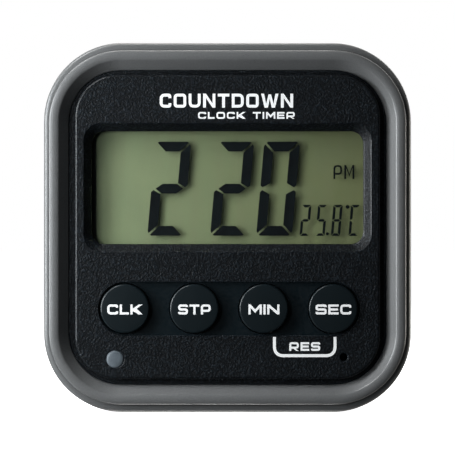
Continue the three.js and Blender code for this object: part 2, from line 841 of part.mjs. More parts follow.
const upperCellY = BAY_Y + CELL_PITCH / 2;
const lowerCellY = BAY_Y - CELL_PITCH / 2;

// A sprung end contact: a plate against the end wall of the bay.
const contactPlate = (side, y0, y1) => {
  const outer = side * (BAY_W / 2 - 0.1);
  const inner = side * (BAY_W / 2 - 0.5);
  return box(Math.min(outer, inner), Math.max(outer, inner), y0, y1, CELL_Z - 4, CELL_Z + 4.5);
};

// Coil spring that pushes on a cell's flat end.
function contactSpring(side, y) {
  const turns = 3;
  const start = side * (BAY_W / 2 - 1);
  const length = BAY_W - CELL_L - 2.2;
  const steps = 8 * turns;
  const points = Array.from({ length: steps + 1 }, (_, i) => {
    const share = i / steps;
    const radius = 3.6 - 1.2 * share;
    const angle = share * turns * 2 * Math.PI;
    return new THREE.Vector3(
      start - side * share * length,
      y + radius * Math.cos(angle),
      CELL_Z + radius * Math.sin(angle),
    );
  });
  return wire(points, 0.3, steps, 3);
}

function batteryDoor() {
  const low = BAY_Y - DOOR_H / 2;
  const plate = slab(
    roundedRect(DOOR_W, DOOR_H - 2, 1, 0, low + (DOOR_H - 2) / 2),
    BACK,
    BACK + DOOR_THICK,
  );
  const upperStrip = box(
    -DOOR_W / 2,
    DOOR_W / 2,
    low + DOOR_H / 2,
    DOOR_HINGE_Y,
    BACK,
    BACK + DOOR_THICK,
  );
  const roundEdge = crossRod(DOOR_THICK / 2, -DOOR_W / 2, DOOR_W / 2, DOOR_HINGE_Y, DOOR_HINGE_Z);
  const hooks = HOOKS_X.flatMap((x) => [
    box(x - HOOK_HALF_W, x + HOOK_HALF_W, DOOR_HINGE_Y - 1.2, DOOR_HINGE_Y, BACK + 1, BACK + 2.7),
    box(x - HOOK_HALF_W, x + HOOK_HALF_W, DOOR_HINGE_Y - 1.2, DOOR_HINGE_Y + 2, BACK + 1.95, BACK + 2.7),
  ]);
  const ribs = [-1, 0, 1].map((i) =>
    box(-6 + Math.abs(i), 6 - Math.abs(i), low + 4 + i * 1.3 - 0.3, low + 4 + i * 1.3 + 0.3,
      BACK - 1, BACK + 0.3),
  );
  return cut(join(plate, upperStrip, roundEdge, ...hooks), ...ribs);
}

// ---------------------------------------------------------------- stand

function standLeg() {
  const shape = roundedRect(
    STAND_W,
    STAND_HINGE_Y - STAND_FOOT_Y,
    1.8,
    0,
    (STAND_HINGE_Y + STAND_FOOT_Y) / 2,
  );
  const plate = slab(shape, BACK + 0.2, BACK + 0.2 + STAND_THICK);
  const barrel = crossRod(STAND_BARREL_R, -STAND_W / 2, STAND_W / 2, STAND_HINGE_Y, STAND_HINGE_Z);
  const hollow = slab(
    roundedRect(STAND_W - 6, STAND_HINGE_Y - STAND_FOOT_Y - 10, 1.5, 0, STAND_FOOT_Y + 11),
    BACK + 1.4,
    BACK + 4,
  );
  const bore = crossRod(PIN_R + 0.08, -STAND_W, STAND_W, STAND_HINGE_Y, STAND_HINGE_Z);
  const trim = box(
    -STAND_W,
    STAND_W,
    STAND_HINGE_Y + 0.01,
    STAND_HINGE_Y + 4,
    BACK - 1,
    BACK + 0.2,
  );
  return cut(join(plate, barrel), hollow, bore, trim);
}

const standPin = () => crossRod(PIN_R, -15.4, 15.4, STAND_HINGE_Y, STAND_HINGE_Z);

// ---------------------------------------------------------------- fasteners and magnets

// Pan-head screw whose head faces the back, with a cross recess.
function screw({ x, y }, seat, headR, shankR, length) {
  const headZ = seat - headR * 0.7;
  const blank = turned(
    [
      [0, headZ],
      [headR * 0.7, headZ],
      [headR, seat - 0.3],
      [headR, seat],
      [shankR, seat],
      [shankR, seat + length - shankR],
      [0, seat + length],
    ],
    x,
    y,
    12,
  );
  const slot = headR * 0.6;
  const thin = headR * 0.13;
  const depth = headR * 0.35;
  return cut(
    blank,
    box(x - slot, x + slot, y - thin, y + thin, headZ - 1, headZ + depth),
    box(x - thin, x + thin, y - slot, y + slot, headZ - 1, headZ + depth),
  );
}

const magnetDisc = ({ x, y, r, thick }) =>
  turned(
    [
      [0, BACK],
      [r - 0.3, BACK],
      [r, BACK + 0.3],
      [r, BACK + thick],
      [0, BACK + thick],
    ],
    x,
    y,
    24,
  );

// ---------------------------------------------------------------- assembly

const timer = new THREE.Group();

function place(name, geometry, material, parent = timer) {
  const mesh = new THREE.Mesh(geometry, material);
  mesh.name = name;
  parent.add(mesh);
  return mesh;
}

place("rear_housing", rearHousing(), GREY_CASE);
place("front_bezel", frontBezel(), GREY_CASE);
place("face_panel", facePanel(), BLACK_FACE);

place("window_lens", displayPlate(LENS_Z, LENS_THICK), CLEAR);
place("lcd_front_glass", displayPlate(LCD_Z, GLASS_THICK, GLASS_TAB), CLEAR);
place("lcd_rear_glass", displayPlate(REAR_GLASS_Z, GLASS_THICK), CLEAR);
place("lcd_reflector", displayPlate(REFLECTOR_Z, REFLECTOR_THICK), REFLECTOR);
place("lcd_frame", lcdFrame(), HOLDER);
place("zebra_strip", zebraStrip(), RUBBER);

KEY_NAMES.forEach((name, i) => place(name, keyCap(i), KEY_BLACK));
place("key_dome_sheet", keyDomeSheet(), SILICONE);

place("main_board", mainBoard(), BOARD_GREEN);
place("chip_blob", chipBlob(), EPOXY);
place("crystal_can", crystalCan(), NICKEL);
place("capacitor", capacitor(), EPOXY);
place("led_diffuser", ledDiffuser(), FROSTED);
place("alarm_led", alarmLed(), CLEAR);
place("temperature_sensor", temperatureSensor(), EPOXY);
place("piezo_disc", piezoDisc(), BRASS);
place("piezo_lead_red", piezoLead(-3, INSIDE_Z + 1.7, 1.5), RED_WIRE);
place("piezo_lead_black", piezoLead(6.4, INSIDE_Z + 1.45, -1.5), BLACK_WIRE);
place("mode_switch_body", switchBody(), STEEL);
place("mode_slider", modeSlider(), KEY_BLACK);

place("battery_upper", cell(upperCellY, 1), CELL_WRAP);
place("battery_lower", cell(lowerCellY, -1), CELL_WRAP);
place("bridge_contact", contactPlate(-1, lowerCellY - 4.4, upperCellY + 4.4), NICKEL);
place("positive_contact", contactPlate(1, upperCellY - 4, upperCellY + 4.4), NICKEL);
place("negative_contact", contactPlate(1, lowerCellY - 4.4, lowerCellY + 4), NICKEL);
place("spring_upper", contactSpring(-1, upperCellY), NICKEL);
place("spring_lower", contactSpring(1, lowerCellY), NICKEL);
place("battery_door", batteryDoor(), GREY_CASE);

place("stand_leg", standLeg(), GREY_CASE);
place("stand_hinge_pin", standPin(), STEEL);

place("magnet_left", magnetDisc(MAGNETS[0]), NICKEL);
place("magnet_right", magnetDisc(MAGNETS[1]), NICKEL);

CASE_SCREWS.forEach((s) => place(s.name, screw(s, HEAD_SEAT - GAP, 2.1, 0.95, 11.5), STEEL));
BOARD_SCREWS.forEach((s) => place(s.name, screw(s, BOARD_BACK - 0.05, 1.5, 0.65, 4.4), STEEL));

// Stand the case on its bottom edge with the face towards -Y.
timer.rotation.x = Math.PI / 2;

export default timer;
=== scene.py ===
import math
from contextlib import contextmanager

import bmesh
import bpy
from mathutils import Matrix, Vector

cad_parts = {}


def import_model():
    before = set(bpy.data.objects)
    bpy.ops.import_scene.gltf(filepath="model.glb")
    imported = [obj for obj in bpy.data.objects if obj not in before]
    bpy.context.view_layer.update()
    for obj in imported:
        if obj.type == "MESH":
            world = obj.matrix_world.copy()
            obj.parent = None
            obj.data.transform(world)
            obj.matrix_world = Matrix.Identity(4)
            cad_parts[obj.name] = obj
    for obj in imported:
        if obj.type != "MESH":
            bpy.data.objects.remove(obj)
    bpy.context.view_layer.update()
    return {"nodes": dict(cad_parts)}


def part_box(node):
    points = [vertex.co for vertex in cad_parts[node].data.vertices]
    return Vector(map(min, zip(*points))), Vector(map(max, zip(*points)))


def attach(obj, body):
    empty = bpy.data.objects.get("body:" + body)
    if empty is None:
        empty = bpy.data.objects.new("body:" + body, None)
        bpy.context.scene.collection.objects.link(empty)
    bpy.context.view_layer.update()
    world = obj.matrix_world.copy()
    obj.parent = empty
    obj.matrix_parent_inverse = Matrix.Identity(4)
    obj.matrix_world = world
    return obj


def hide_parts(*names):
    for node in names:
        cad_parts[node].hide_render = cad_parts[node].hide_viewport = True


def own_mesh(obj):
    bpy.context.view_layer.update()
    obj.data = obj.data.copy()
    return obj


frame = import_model()

# Shapes are drawn in the face frame: x to the right, y up, z towards the reader, millimetres.
# world() turns that into the row frame: +X right, +Y back, +Z up, metres.
MM = 0.001
CORNER = 20  # facets in a rounded corner
SHARP = 30
WELD = 1e-7  # metres


def world(x, y, z):
    return Vector((x, -z, y)) * MM


class Span:
    """The extent of a CAD node in the face frame."""

    def __init__(self, node):
        low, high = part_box(node)
        self.x0, self.x1 = low.x / MM, high.x / MM
        self.y0, self.y1 = low.z / MM, high.z / MM
        self.back, self.front = -high.y / MM, -low.y / MM
        self.w, self.h = self.x1 - self.x0, self.y1 - self.y0
        self.cx, self.cy = (self.x0 + self.x1) / 2, (self.y0 + self.y1) / 2
        self.cz = (self.back + self.front) / 2


KEYS = ["clock_button", "stop_button", "minute_button", "second_button"]
CASE_SCREWS = [n for n in frame["nodes"] if n.startswith("case_screw")]
BOARD_SCREWS = [n for n in frame["nodes"] if n.startswith("board_screw")]
MAGNETS = ["magnet_left", "magnet_right"]
CELLS = ["battery_upper", "battery_lower"]

housing = Span("rear_housing")
bezel = Span("front_bezel")
panel = Span("face_panel")
display = Span("lcd_reflector")
lamp = Span("led_diffuser")
sensor = Span("temperature_sensor")
door = Span("battery_door")
stand = Span("stand_leg")
pin = Span("stand_hinge_pin")
slider = Span("mode_slider")
piezo = Span("piezo_disc")
lens = Span("window_lens")
front_glass = Span("lcd_front_glass")
rear_glass = Span("lcd_rear_glass")

BACK = housing.back
CASE_R = 15.0
PLATEAU_Z = panel.front
CREST_Z = bezel.front
PANEL_BACK = panel.back
DISPLAY_X = display.cx
DISPLAY_Y = display.cy


# ---------------------------------------------------------------- mesh helpers


def outline(w, h, r, cx=0.0, cy=0.0, steps=CORNER):
    """Points of a rounded rectangle, anticlockwise, starting at its lower right corner."""
    points = []
    corners = [(1, -1, -90), (1, 1, 0), (-1, 1, 90), (-1, -1, 180)]
    for sx, sy, start in corners:
        ox, oy = cx + sx * (w / 2 - r), cy + sy * (h / 2 - r)
        for i in range(steps + 1):
            a = math.radians(start + 90 * i / steps)
            points.append((ox + r * math.cos(a), oy + r * math.sin(a)))
    return points


def circle(r, cx, cy, steps=64):
    turn = [2 * math.pi * i / steps for i in range(steps)]
    return [(cx + r * math.cos(a), cy + r * math.sin(a)) for a in turn]


def arc(cu, cv, r, start, end, steps=6):
    """Points of an arc as (u, v) pairs, angles in degrees."""
    angles = [math.radians(start + (end - start) * i / steps) for i in range(steps + 1)]
    return [(cu + r * math.cos(a), cv + r * math.sin(a)) for a in angles]


@contextmanager
def editing(mesh):
    bm = bmesh.new()
    bm.from_mesh(mesh)
    yield bm
    bm.to_mesh(mesh)
    bm.free()


def linked(name, data):
    obj = bpy.data.objects.new(name, data)
    bpy.context.collection.objects.link(obj)
    return obj


def make_object(name, verts, faces):
    mesh = bpy.data.meshes.new(name)
    mesh.from_pydata([world(*v) for v in verts], [], faces)
    mesh.validate()
    obj = linked(name, mesh)
    with editing(mesh) as bm:
        bmesh.ops.recalc_face_normals(bm, faces=bm.faces)
    shade(obj)
    return obj


def shade(obj):
    """Smooth shading, with the edges that turn more than SHARP degrees kept sharp."""
    with editing(obj.data) as bm:
        for face in bm.faces:
            face.smooth = True
        for edge in bm.edges:
            edge.smooth = len(edge.link_faces) == 2 and edge.calc_face_angle(0) < math.radians(SHARP)


def even_normals(obj):
    """Large flat faces keep flat shading beside the small faces of their rounded edges."""
    modifier = obj.modifiers.new("even_normals", "WEIGHTED_NORMAL")
    modifier.keep_sharp = True
    modifier.weight = 80


def stacked(name, rings, closed=False):
    """Skin through rings of equal count: a capped solid, or a ring if closed."""
    count = len(rings[0])
    verts = [v for ring in rings for v in ring]
    faces = []
    bands = len(rings) if closed else len(rings) - 1
    for band in range(bands):
        a, b = band * count, (band + 1) % len(rings) * count
        for i in range(count):
            j = (i + 1) % count
            faces.append((a + i, a + j, b + j, b + i))
    if not closed:
        faces.append(tuple(range(count))[::-1])
        faces.append(tuple(range(len(verts) - count, len(verts))))
    return make_object(name, verts, faces)


def swept(name, w, h, r, cx, cy, profile, closed=False, steps=CORNER):
    """A rounded rectangle carried through a profile of (inset, z) or (inset, z, radius)."""
    rings = []
    for inset, z, *radius in profile:
        corner = radius[0] if radius else r - inset
        points = outline(w - 2 * inset, h - 2 * inset, corner, cx, cy, steps)
        rings.append([(x, y, z) for x, y in points])
    return stacked(name, rings, closed)


def prism(name, points, low, high):
    return stacked(name, [[(x, y, z) for x, y in points] for z in (low, high)])


def brick(name, x0, x1, y0, y1, z0, z1):
    return prism(name, [(x1, y0), (x1, y1), (x0, y1), (x0, y0)], z0, z1)


def turned(name, profile, cx, cy, steps=64):
    """A body turned about z from (radius, z) points, with a closed disc at each end."""
    rings = [[(x, y, z) for x, y in circle(r, cx, cy, steps)] for r, z in profile]
    return stacked(name, rings)


def drum(name, at, radius, low, high, steps=64):
    """A straight cylinder along z, centred on a node's extent."""
    return turned(name, [(radius, low), (radius, high)], at.cx, at.cy, steps)


def cross_bar(name, radius, x0, x1, y, z, steps=48):
    """A round bar along x."""
    rings = [[(x, y + u, z + v) for u, v in circle(radius, 0, 0, steps)] for x in (x0, x1)]
    return stacked(name, rings)


def coil_points(centre, start, end, radius_start, radius_end, turns, per_turn=36):
    """A helix along x between start and end, as (x, y, z) points."""
    y, z = centre
    count = int(turns * per_turn)
    points = []
    for i in range(count + 1):
        share = i / count
        a = 2 * math.pi * turns * share
        r = radius_start + (radius_end - radius_start) * share
        points.append((start + (end - start) * share, y + r * math.cos(a), z + r * math.sin(a)))
    return points


def wire(name, points, radius, sides=12):
    """A round wire through points, with its section kept square to the path."""
    path = [Vector(p) for p in points]
    rings = []
    side = None
    for i, here in enumerate(path):
        along = (path[min(i + 1, len(path) - 1)] - path[max(i - 1, 0)]).normalized()
        if side is None:
            side = along.orthogonal().normalized()
        side = (side - along * side.dot(along)).normalized()
        up = along.cross(side)
        ring = []
        for k in range(sides):
            a = 2 * math.pi * k / sides
            ring.append(tuple(here + radius * (side * math.cos(a) + up * math.sin(a))))
        rings.append(ring)
    return stacked(name, rings)


def combine(obj, tools, operation):
    for tool in tools:
        modifier = obj.modifiers.new(tool.name, "BOOLEAN")
        modifier.operation = operation
        modifier.solver = "EXACT"
        modifier.object = tool
    depsgraph = bpy.context.evaluated_depsgraph_get()
    result = bpy.data.meshes.new_from_object(obj.evaluated_get(depsgraph))
    obj.modifiers.clear()
    old = obj.data
    obj.data = result
    bpy.data.meshes.remove(old)
    for tool in tools:
        bpy.data.meshes.remove(tool.data)
    clean(obj)
    return obj


def clean(obj):
    with editing(obj.data) as bm:
        bmesh.ops.remove_doubles(bm, verts=bm.verts, dist=WELD)
        bmesh.ops.dissolve_degenerate(bm, edges=bm.edges, dist=WELD)
    shade(obj)


def carve(obj, tools):
    return combine(obj, tools, "DIFFERENCE")


def fuse(obj, tools):
    return combine(obj, tools, "UNION")


def soften(obj, width, segments=3, angle=35):
    """Small rounded edges on a plain moulding."""
    modifier = obj.modifiers.new("soften", "BEVEL")
    modifier.width = width * MM
    modifier.segments = segments
    modifier.limit_method = "ANGLE"
    modifier.angle_limit = math.radians(angle)
    modifier.harden_normals = True
    return obj


def rounded_mouth(edge, surface, outward):
    """(distance outside the wall, z) points from above a surface over a rounded edge to the wall."""
    points = [(edge + 0.2, surface + 0.5 * outward), (edge, surface + 0.01 * outward)]
    for angle in (20, 40, 60, 80, 90):
        turn = math.radians(angle)
        points.append((edge - edge * math.sin(turn), surface - outward * edge * (1 - math.cos(turn))))
    return points


def pocket(name, w, h, r, cx, cy, surface, depth, edge=0.15, outward=1):
    """A cutter with a rounded mouth: outward is 1 at the front of the object, -1 at its back."""
    profile = [(-out, z) for out, z in rounded_mouth(edge, surface, outward)]
    profile.append((0, surface - outward * depth))
    return swept(name, w, h, r, cx, cy, [(i, z, max(r - i, 0.02)) for i, z in profile], steps=12)


def round_pocket(name, r, cx, cy, surface, depth, edge=0.15, outward=1, steps=64):
    """The same, round."""
    profile = [(r + out, z) for out, z in rounded_mouth(edge, surface, outward)]
    return turned(name, profile + [(r, surface - outward * depth)], cx, cy, steps)


def ball(name, r, x, y, z, steps=24):
    rings = []
    for i in range(1, 2 * steps):
        a = math.pi * i / (2 * steps) - math.pi / 2
        ring = circle(r * math.cos(a), x, y, 2 * steps)
        rings.append([(px, py, z + r * math.sin(a)) for px, py in ring])
    return stacked(name, rings)


# ---------------------------------------------------------------- materials


class Nodes:
    """A short way to build a node material: each call makes one node and wires its inputs."""

    def __init__(self, name):
        self.material = bpy.data.materials.new(name)
        self.material.use_nodes = True
        self.tree = self.material.node_tree
        self.shader = next(n for n in self.tree.nodes if n.type == "BSDF_PRINCIPLED")
        self.place = self.make("ShaderNodeTexCoord").outputs["Object"]

    def make(self, kind, **settings):
        node = self.tree.nodes.new(kind)
        for key, value in settings.items():
            setattr(node, key, value)
        return node

    def put(self, socket, value):
        if isinstance(value, bpy.types.NodeSocket):
            self.tree.links.new(value, socket)
        else:
            socket.default_value = value

    def noise(self, scale, detail=2.0, stretch=(1, 1, 1), roughness=0.5):
        """Noise in object space, scale in cycles per metre."""
        mapping = self.make("ShaderNodeMapping")
        mapping.inputs["Scale"].default_value = stretch
        self.put(mapping.inputs["Vector"], self.place)
        node = self.make("ShaderNodeTexNoise")
        self.put(node.inputs["Vector"], mapping.outputs["Vector"])
        node.inputs["Scale"].default_value = scale
        node.inputs["Detail"].default_value = detail
        node.inputs["Roughness"].default_value = roughness
        return node.outputs["Fac"]

    def spread(self, value, low, high, from_low=0.3, from_high=0.7):
        """A noise's usual range carried to low..high."""
        node = self.make("ShaderNodeMapRange")
        self.put(node.inputs["Value"], value)
        node.inputs["From Min"].default_value = from_low
        node.inputs["From Max"].default_value = from_high
        node.inputs["To Min"].default_value = low
        node.inputs["To Max"].default_value = high
        return node.outputs["Result"]

    def blend(self, share, a, b):
        node = self.make("ShaderNodeMix", data_type="RGBA")
        self.put(node.inputs["Factor"], share)
        self.put(node.inputs["A"], a)
        self.put(node.inputs["B"], b)
        return node.outputs["Result"]

    def share(self, low, high, scale, detail, stretch=(1, 1, 1)):
        return self.spread(self.noise(scale, detail, stretch), low, high)

    def times(self, a, b):
        return self.math("MULTIPLY", a, b)

    def math(self, operation, a, b=0.0):
        node = self.make("ShaderNodeMath", operation=operation)
        self.put(node.inputs[0], a)
        self.put(node.inputs[1], b)
        return node.outputs[0]

    def edges(self, radius):
        """1 on edges that are sharper than radius in mm, 0 on flat stretches."""
        bevel = self.make("ShaderNodeBevel", samples=4)
        bevel.inputs["Radius"].default_value = radius * MM
        normal = self.make("ShaderNodeNewGeometry").outputs["Normal"]
        dot = self.make("ShaderNodeVectorMath", operation="DOT_PRODUCT")
        self.put(dot.inputs[0], bevel.outputs["Normal"])
        self.put(dot.inputs[1], normal)
        return self.spread(dot.outputs["Value"], 1.0, 0.0, 0.93, 0.999)

    def bump(self, height, depth, strength=1.0):
        node = self.make("ShaderNodeBump")
        node.inputs["Strength"].default_value = strength
        node.inputs["Distance"].default_value = depth * MM
        self.put(node.inputs["Height"], height)
        return node.outputs["Normal"]

    def set(self, **values):
        for key, value in values.items():
            self.put(self.shader.inputs[key.replace("_", " ")], value)
        return self.material


def rgb(r, g, b):
    return (r, g, b, 1.0)


def tint(colour, factor):
    return (*[min(c * factor, 1.0) for c in colour[:3]], 1.0)


COAT_ROUGHNESS = 0.2


def moulded(name, colour, roughness, grain, depth, edge_lightening=1.5, specular=0.5, variation=0.12, polish=0.08,
            polish_reach=0.25, gloss=0.0):
    """Moulded plastic: spark grain, faint flow marks, edges lighter by a set factor of the colour and
    smoother by polish.

    grain, depth and polish_reach are in mm. gloss is how much of a coat the edges get.
    """
    n = Nodes(name)
    clouds = n.share(0, 1, 90, 3)
    fine = n.noise(1.0 / (grain * MM), 2, roughness=0.6)
    flow = n.blend(clouds, tint(colour, 1 - variation), tint(colour, 1 + variation))
    speck = n.blend(n.spread(fine, 0, 0.35), flow, tint(colour, 1.5))
    lighter_edges = n.blend(n.times(n.edges(0.2), 0.35), speck, tint(colour, edge_lightening))
    broad = n.share(roughness * 0.96, roughness * 1.05, 400, 3)
    rough = n.times(broad, n.spread(fine, 1.03, 0.97, 0.36, 0.64))
    rough = n.math("SUBTRACT", rough, n.times(n.edges(polish_reach), polish))
    normal = n.bump(fine, depth)
    if gloss:
        n.set(Coat_Weight=n.times(n.edges(polish_reach), gloss), Coat_Roughness=COAT_ROUGHNESS)
    return n.set(Base_Color=lighter_edges, Roughness=rough, Normal=normal, Specular_IOR_Level=specular)


def face_plastic(half_w, half_h, cx, cy, floor_z):
    """Spark-grained black plastic, smooth and a little greener in the sunk strip around the keys."""
    n = Nodes("face_black")
    apart = n.make("ShaderNodeSeparateXYZ")
    n.put(apart.inputs[0], n.place)
    across = n.math("ABSOLUTE", n.math("SUBTRACT", apart.outputs["X"], cx * MM))
    along = n.math("ABSOLUTE", n.math("SUBTRACT", apart.outputs["Z"], cy * MM))
    inside = n.times(n.math("LESS_THAN", across, half_w * MM), n.math("LESS_THAN", along, half_h * MM))
    sunk = n.times(inside, n.math("GREATER_THAN", apart.outputs["Y"], -floor_z * MM))
    grain = n.noise(1.0 / (0.36 * MM), 2, roughness=0.6)
    flow = n.blend(n.share(0, 1, 90, 3), rgb(0.0009, 0.0018, 0.0028), rgb(0.0013, 0.0024, 0.0036))
    speck = n.blend(n.spread(grain, 0, 0.85, 0.49, 0.71), flow, rgb(0.026, 0.033, 0.04))
    tone = n.blend(sunk, speck, rgb(0.0021, 0.0066, 0.0092))
    # Lighter edges: partly wear, partly a painted highlight that brightens the plateau's edge line.
    lighter_edges = n.blend(n.times(n.edges(0.22), 0.4), tone, rgb(0.04, 0.05, 0.06))
    rough = n.times(n.spread(grain, 1.35, 0.65, 0.36, 0.64), n.share(0.4, 0.44, 400, 3))
    rough = n.math("SUBTRACT", rough, n.times(n.edges(0.6), 0.28))
    rough = n.math("ADD", rough, n.times(sunk, 0.08))
    height = n.times(grain, n.math("SUBTRACT", 1.0, sunk))
    n.set(Coat_Weight=n.times(n.edges(0.6), 0.8), Coat_Roughness=COAT_ROUGHNESS)
    return n.set(Base_Color=lighter_edges, Roughness=rough, Normal=n.bump(height, 0.18), Specular_IOR_Level=0.2)


def metal(name, colour, roughness, brushed=(1, 1, 1)):
    n = Nodes(name)
    scratch = n.noise(3000, 4, brushed)
    tone = n.blend(n.share(0, 1, 150, 3), tint(colour, 0.85), tint(colour, 1.1))
    rough = n.spread(scratch, roughness * 0.85, roughness * 1.2)
    normal = n.bump(scratch, 0.0015, 0.3)
    return n.set(Base_Color=tone, Metallic=1.0, Roughness=rough, Normal=normal)


def clear(name, colour, alpha, roughness=0.08):
    n = Nodes(name)
    smudge = n.spread(n.noise(70, 3), roughness, roughness + 0.1)
    return n.set(Base_Color=colour, Roughness=smudge, Alpha=alpha)


def print_ink_painted_glow(name, colour):
    n = Nodes(name)
    tone = n.blend(n.share(0, 1, 2500, 3), tint(colour, 0.88), colour)
    # Painted glow: the ink emits light of its own, so it reads whiter than the lamps alone would make it.
    return n.set(
        Base_Color=tone,
        Roughness=n.share(0.38, 0.55, 1800, 2),
        Normal=n.bump(n.noise(5000, 2), 0.004, 0.7),
        Emission_Color=colour,
        Emission_Strength=0.22,
    )


def reflector_film_painted_light():
    """Pearly grey green film with faint upright streaks, and painted light: paler towards its left end,
    nearer the lamps, and darker to the right.
    """
    n = Nodes("reflector_film_painted_light")
    apart = n.make("ShaderNodeSeparateXYZ")
    n.put(apart.inputs[0], n.place)
    # Painted light: the colour runs from pale at the left end to darker green at the right, standing in for
    # the lamps' fall-off across the film.
    across = n.spread(apart.outputs["X"], 0, 1, display.x0 * MM, display.x1 * MM)
    base = n.blend(across, rgb(0.385, 0.485, 0.265), rgb(0.215, 0.245, 0.1))
    streaks = n.noise(220, 3, (3.2, 1, 0.25))
    base = n.blend(n.spread(streaks, 0, 0.3), base, rgb(0.30, 0.30, 0.17))
    patches = n.noise(160, 2)
    base = n.blend(n.spread(patches, 0, 0.22), base, rgb(0.21, 0.27, 0.16))
    return n.set(
        Base_Color=base,
        Roughness=n.share(0.42, 0.58, 900, 2),
        Normal=n.bump(n.noise(6000, 2), 0.004, 0.5),
        Specular_IOR_Level=0.3,
    )


def segment_ink():
    n = Nodes("segment_ink")
    base = n.blend(n.share(0, 1, 300, 2), rgb(0.0012, 0.003, 0.0045), rgb(0.003, 0.0065, 0.008))
    return n.set(Base_Color=base, Roughness=n.share(0.45, 0.6, 900, 2), Specular_IOR_Level=0.15)


def frosted():
    n = Nodes("frosted")
    tone = n.blend(n.share(0, 1, 500, 3), rgb(0.092, 0.113, 0.13), rgb(0.148, 0.175, 0.198))
    return n.set(
        Base_Color=tone,
        Roughness=n.share(0.38, 0.5, 1500, 2),
        Normal=n.bump(n.noise(4000, 2), 0.01, 0.6),
        Subsurface_Weight=0.2,
        Subsurface_Radius=(0.6 * MM, 0.6 * MM, 0.7 * MM),
    )


def cell_sleeve():
    """Printed sleeve of a cell: dark blue with a copper band at the plus end."""
    n = Nodes("cell_sleeve")
    tone = n.blend(n.share(0, 1, 200, 3), rgb(0.012, 0.022, 0.05), rgb(0.02, 0.034, 0.07))
    return n.set(
        Base_Color=tone,
        Roughness=n.share(0.22, 0.34, 600, 2),
        Normal=n.bump(n.noise(1500, 2), 0.004, 0.5),
        Coat_Weight=0.4,
    )


def board_mask():
    """Green solder mask over faint tracks."""
    n = Nodes("board_mask")
    tracks = n.noise(500, 0, (1, 1, 0.2))
    tone = n.blend(n.spread(tracks, 0, 1, 0.48, 0.52), rgb(0.008, 0.07, 0.03), rgb(0.02, 0.12, 0.05))
    return n.set(
        Base_Color=tone,
        Roughness=n.share(0.3, 0.42, 900, 2),
        Normal=n.bump(tracks, 0.02, 0.6),
    )


CASE_GREY = moulded("case_grey", rgb(0.135, 0.137, 0.137), 0.29, 0.3, 0.012, edge_lightening=1.1, variation=0.03,
                    polish_reach=0.4, gloss=0.5)
KEY_BLACK = moulded("key_black", rgb(0.0045, 0.0085, 0.0105), 0.4, 0.15, 0.006, edge_lightening=8.0, specular=0.26,
                    variation=0.1, polish=0.3, polish_reach=0.5, gloss=0.6)
SILICONE = moulded("silicone", rgb(0.42, 0.44, 0.46), 0.6, 0.3, 0.006)
HOLDER_WHITE = moulded("holder_white", rgb(0.68, 0.68, 0.65), 0.45, 0.3, 0.006)
EPOXY = moulded("epoxy_black", rgb(0.01, 0.01, 0.011), 0.25, 0.6, 0.01)
CONTACT_RUBBER = moulded("contact_rubber", rgb(0.03, 0.03, 0.032), 0.7, 0.2, 0.01)
RED_JACKET = moulded("red_jacket", rgb(0.35, 0.012, 0.01), 0.35, 0.4, 0.004)
BLACK_JACKET = moulded("black_jacket", rgb(0.012, 0.012, 0.012), 0.35, 0.4, 0.004)
CLEAR_PLASTIC = clear("clear_plastic", rgb(0.02, 0.022, 0.02), 0.05, 0.12)
CLEAR_GLASS = clear("clear_glass", rgb(0.01, 0.012, 0.01), 0.04, 0.1)
CLEAR_EPOXY = clear("clear_epoxy", rgb(0.6, 0.62, 0.62), 0.4, 0.1)
LEGEND_WHITE_GLOWING = print_ink_painted_glow("legend_white", rgb(0.97, 0.98, 0.98))
REFLECTOR_WITH_PAINTED_LIGHT = reflector_film_painted_light()
SEGMENT_INK = segment_ink()
FROSTED = frosted()
SLEEVE = cell_sleeve()
COPPER = metal("copper_band", rgb(0.55, 0.24, 0.1), 0.32)
STEEL = metal("zinc_steel", rgb(0.5, 0.51, 0.52), 0.35, (1, 1, 4))
NICKEL = metal("nickel", rgb(0.62, 0.6, 0.56), 0.24)
BRASS = metal("brass", rgb(0.62, 0.44, 0.16), 0.3)
BOARD = board_mask()


# ---------------------------------------------------------------- pieces


def finish_piece(obj, material, slot, *nodes, body="case"):
    """Gives a finished piece its material and body, and hides the CAD nodes it stands for. slot is not used.
    """
    obj.data.materials.clear()
    obj.data.materials.append(material)
    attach(obj, body)
    if nodes:
        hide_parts(*nodes)
    return obj


# ---- front bezel

LIP_Z = housing.front  # front rim of the rear housing
BEZEL_R = CASE_R - 1.25
SLOPE_FOOT = (bezel.w - panel.w) / 2 - 0.1
LEDGE_IN = SLOPE_FOOT + 2.5
LEDGE_TOP = PANEL_BACK - 0.1
LEDGE_BACK = LEDGE_TOP - 1.3
BEZEL_FOOT = CREST_Z - 3.3
CREST_IN = 0.96  # inset of the highest line
CREST_ROUND = 2.05  # radius of the dome
CREST_TILT = 20  # how far the dome reaches to each side of that line, degrees
EDGE_ROUND = 0.4
SLOPE_ROUND = 0.8
SLOPE_TILT = 47


def crest_profile():
    """The bezel's section from its outer edge over the dome to the top of the slope."""
    tilt = math.radians(CREST_TILT)
    reach = CREST_ROUND * math.sin(tilt)
    end_z = CREST_Z - CREST_ROUND * (1 - math.cos(tilt))
    edge_in = CREST_IN - reach + EDGE_ROUND * math.sin(tilt)
    slope_in = CREST_IN + reach - SLOPE_ROUND * math.sin(tilt)
    edge = arc(edge_in, end_z - EDGE_ROUND * math.cos(tilt), EDGE_ROUND, 180, 90 + CREST_TILT, 7)
    dome = arc(CREST_IN, CREST_Z - CREST_ROUND, CREST_ROUND, 90 + CREST_TILT, 90 - CREST_TILT, 10)
    slope_z = end_z - SLOPE_ROUND * math.cos(tilt)
    turn = arc(slope_in, slope_z, SLOPE_ROUND, 90 - CREST_TILT, 90 - SLOPE_TILT, 6)
    return edge + dome[1:] + turn[1:]


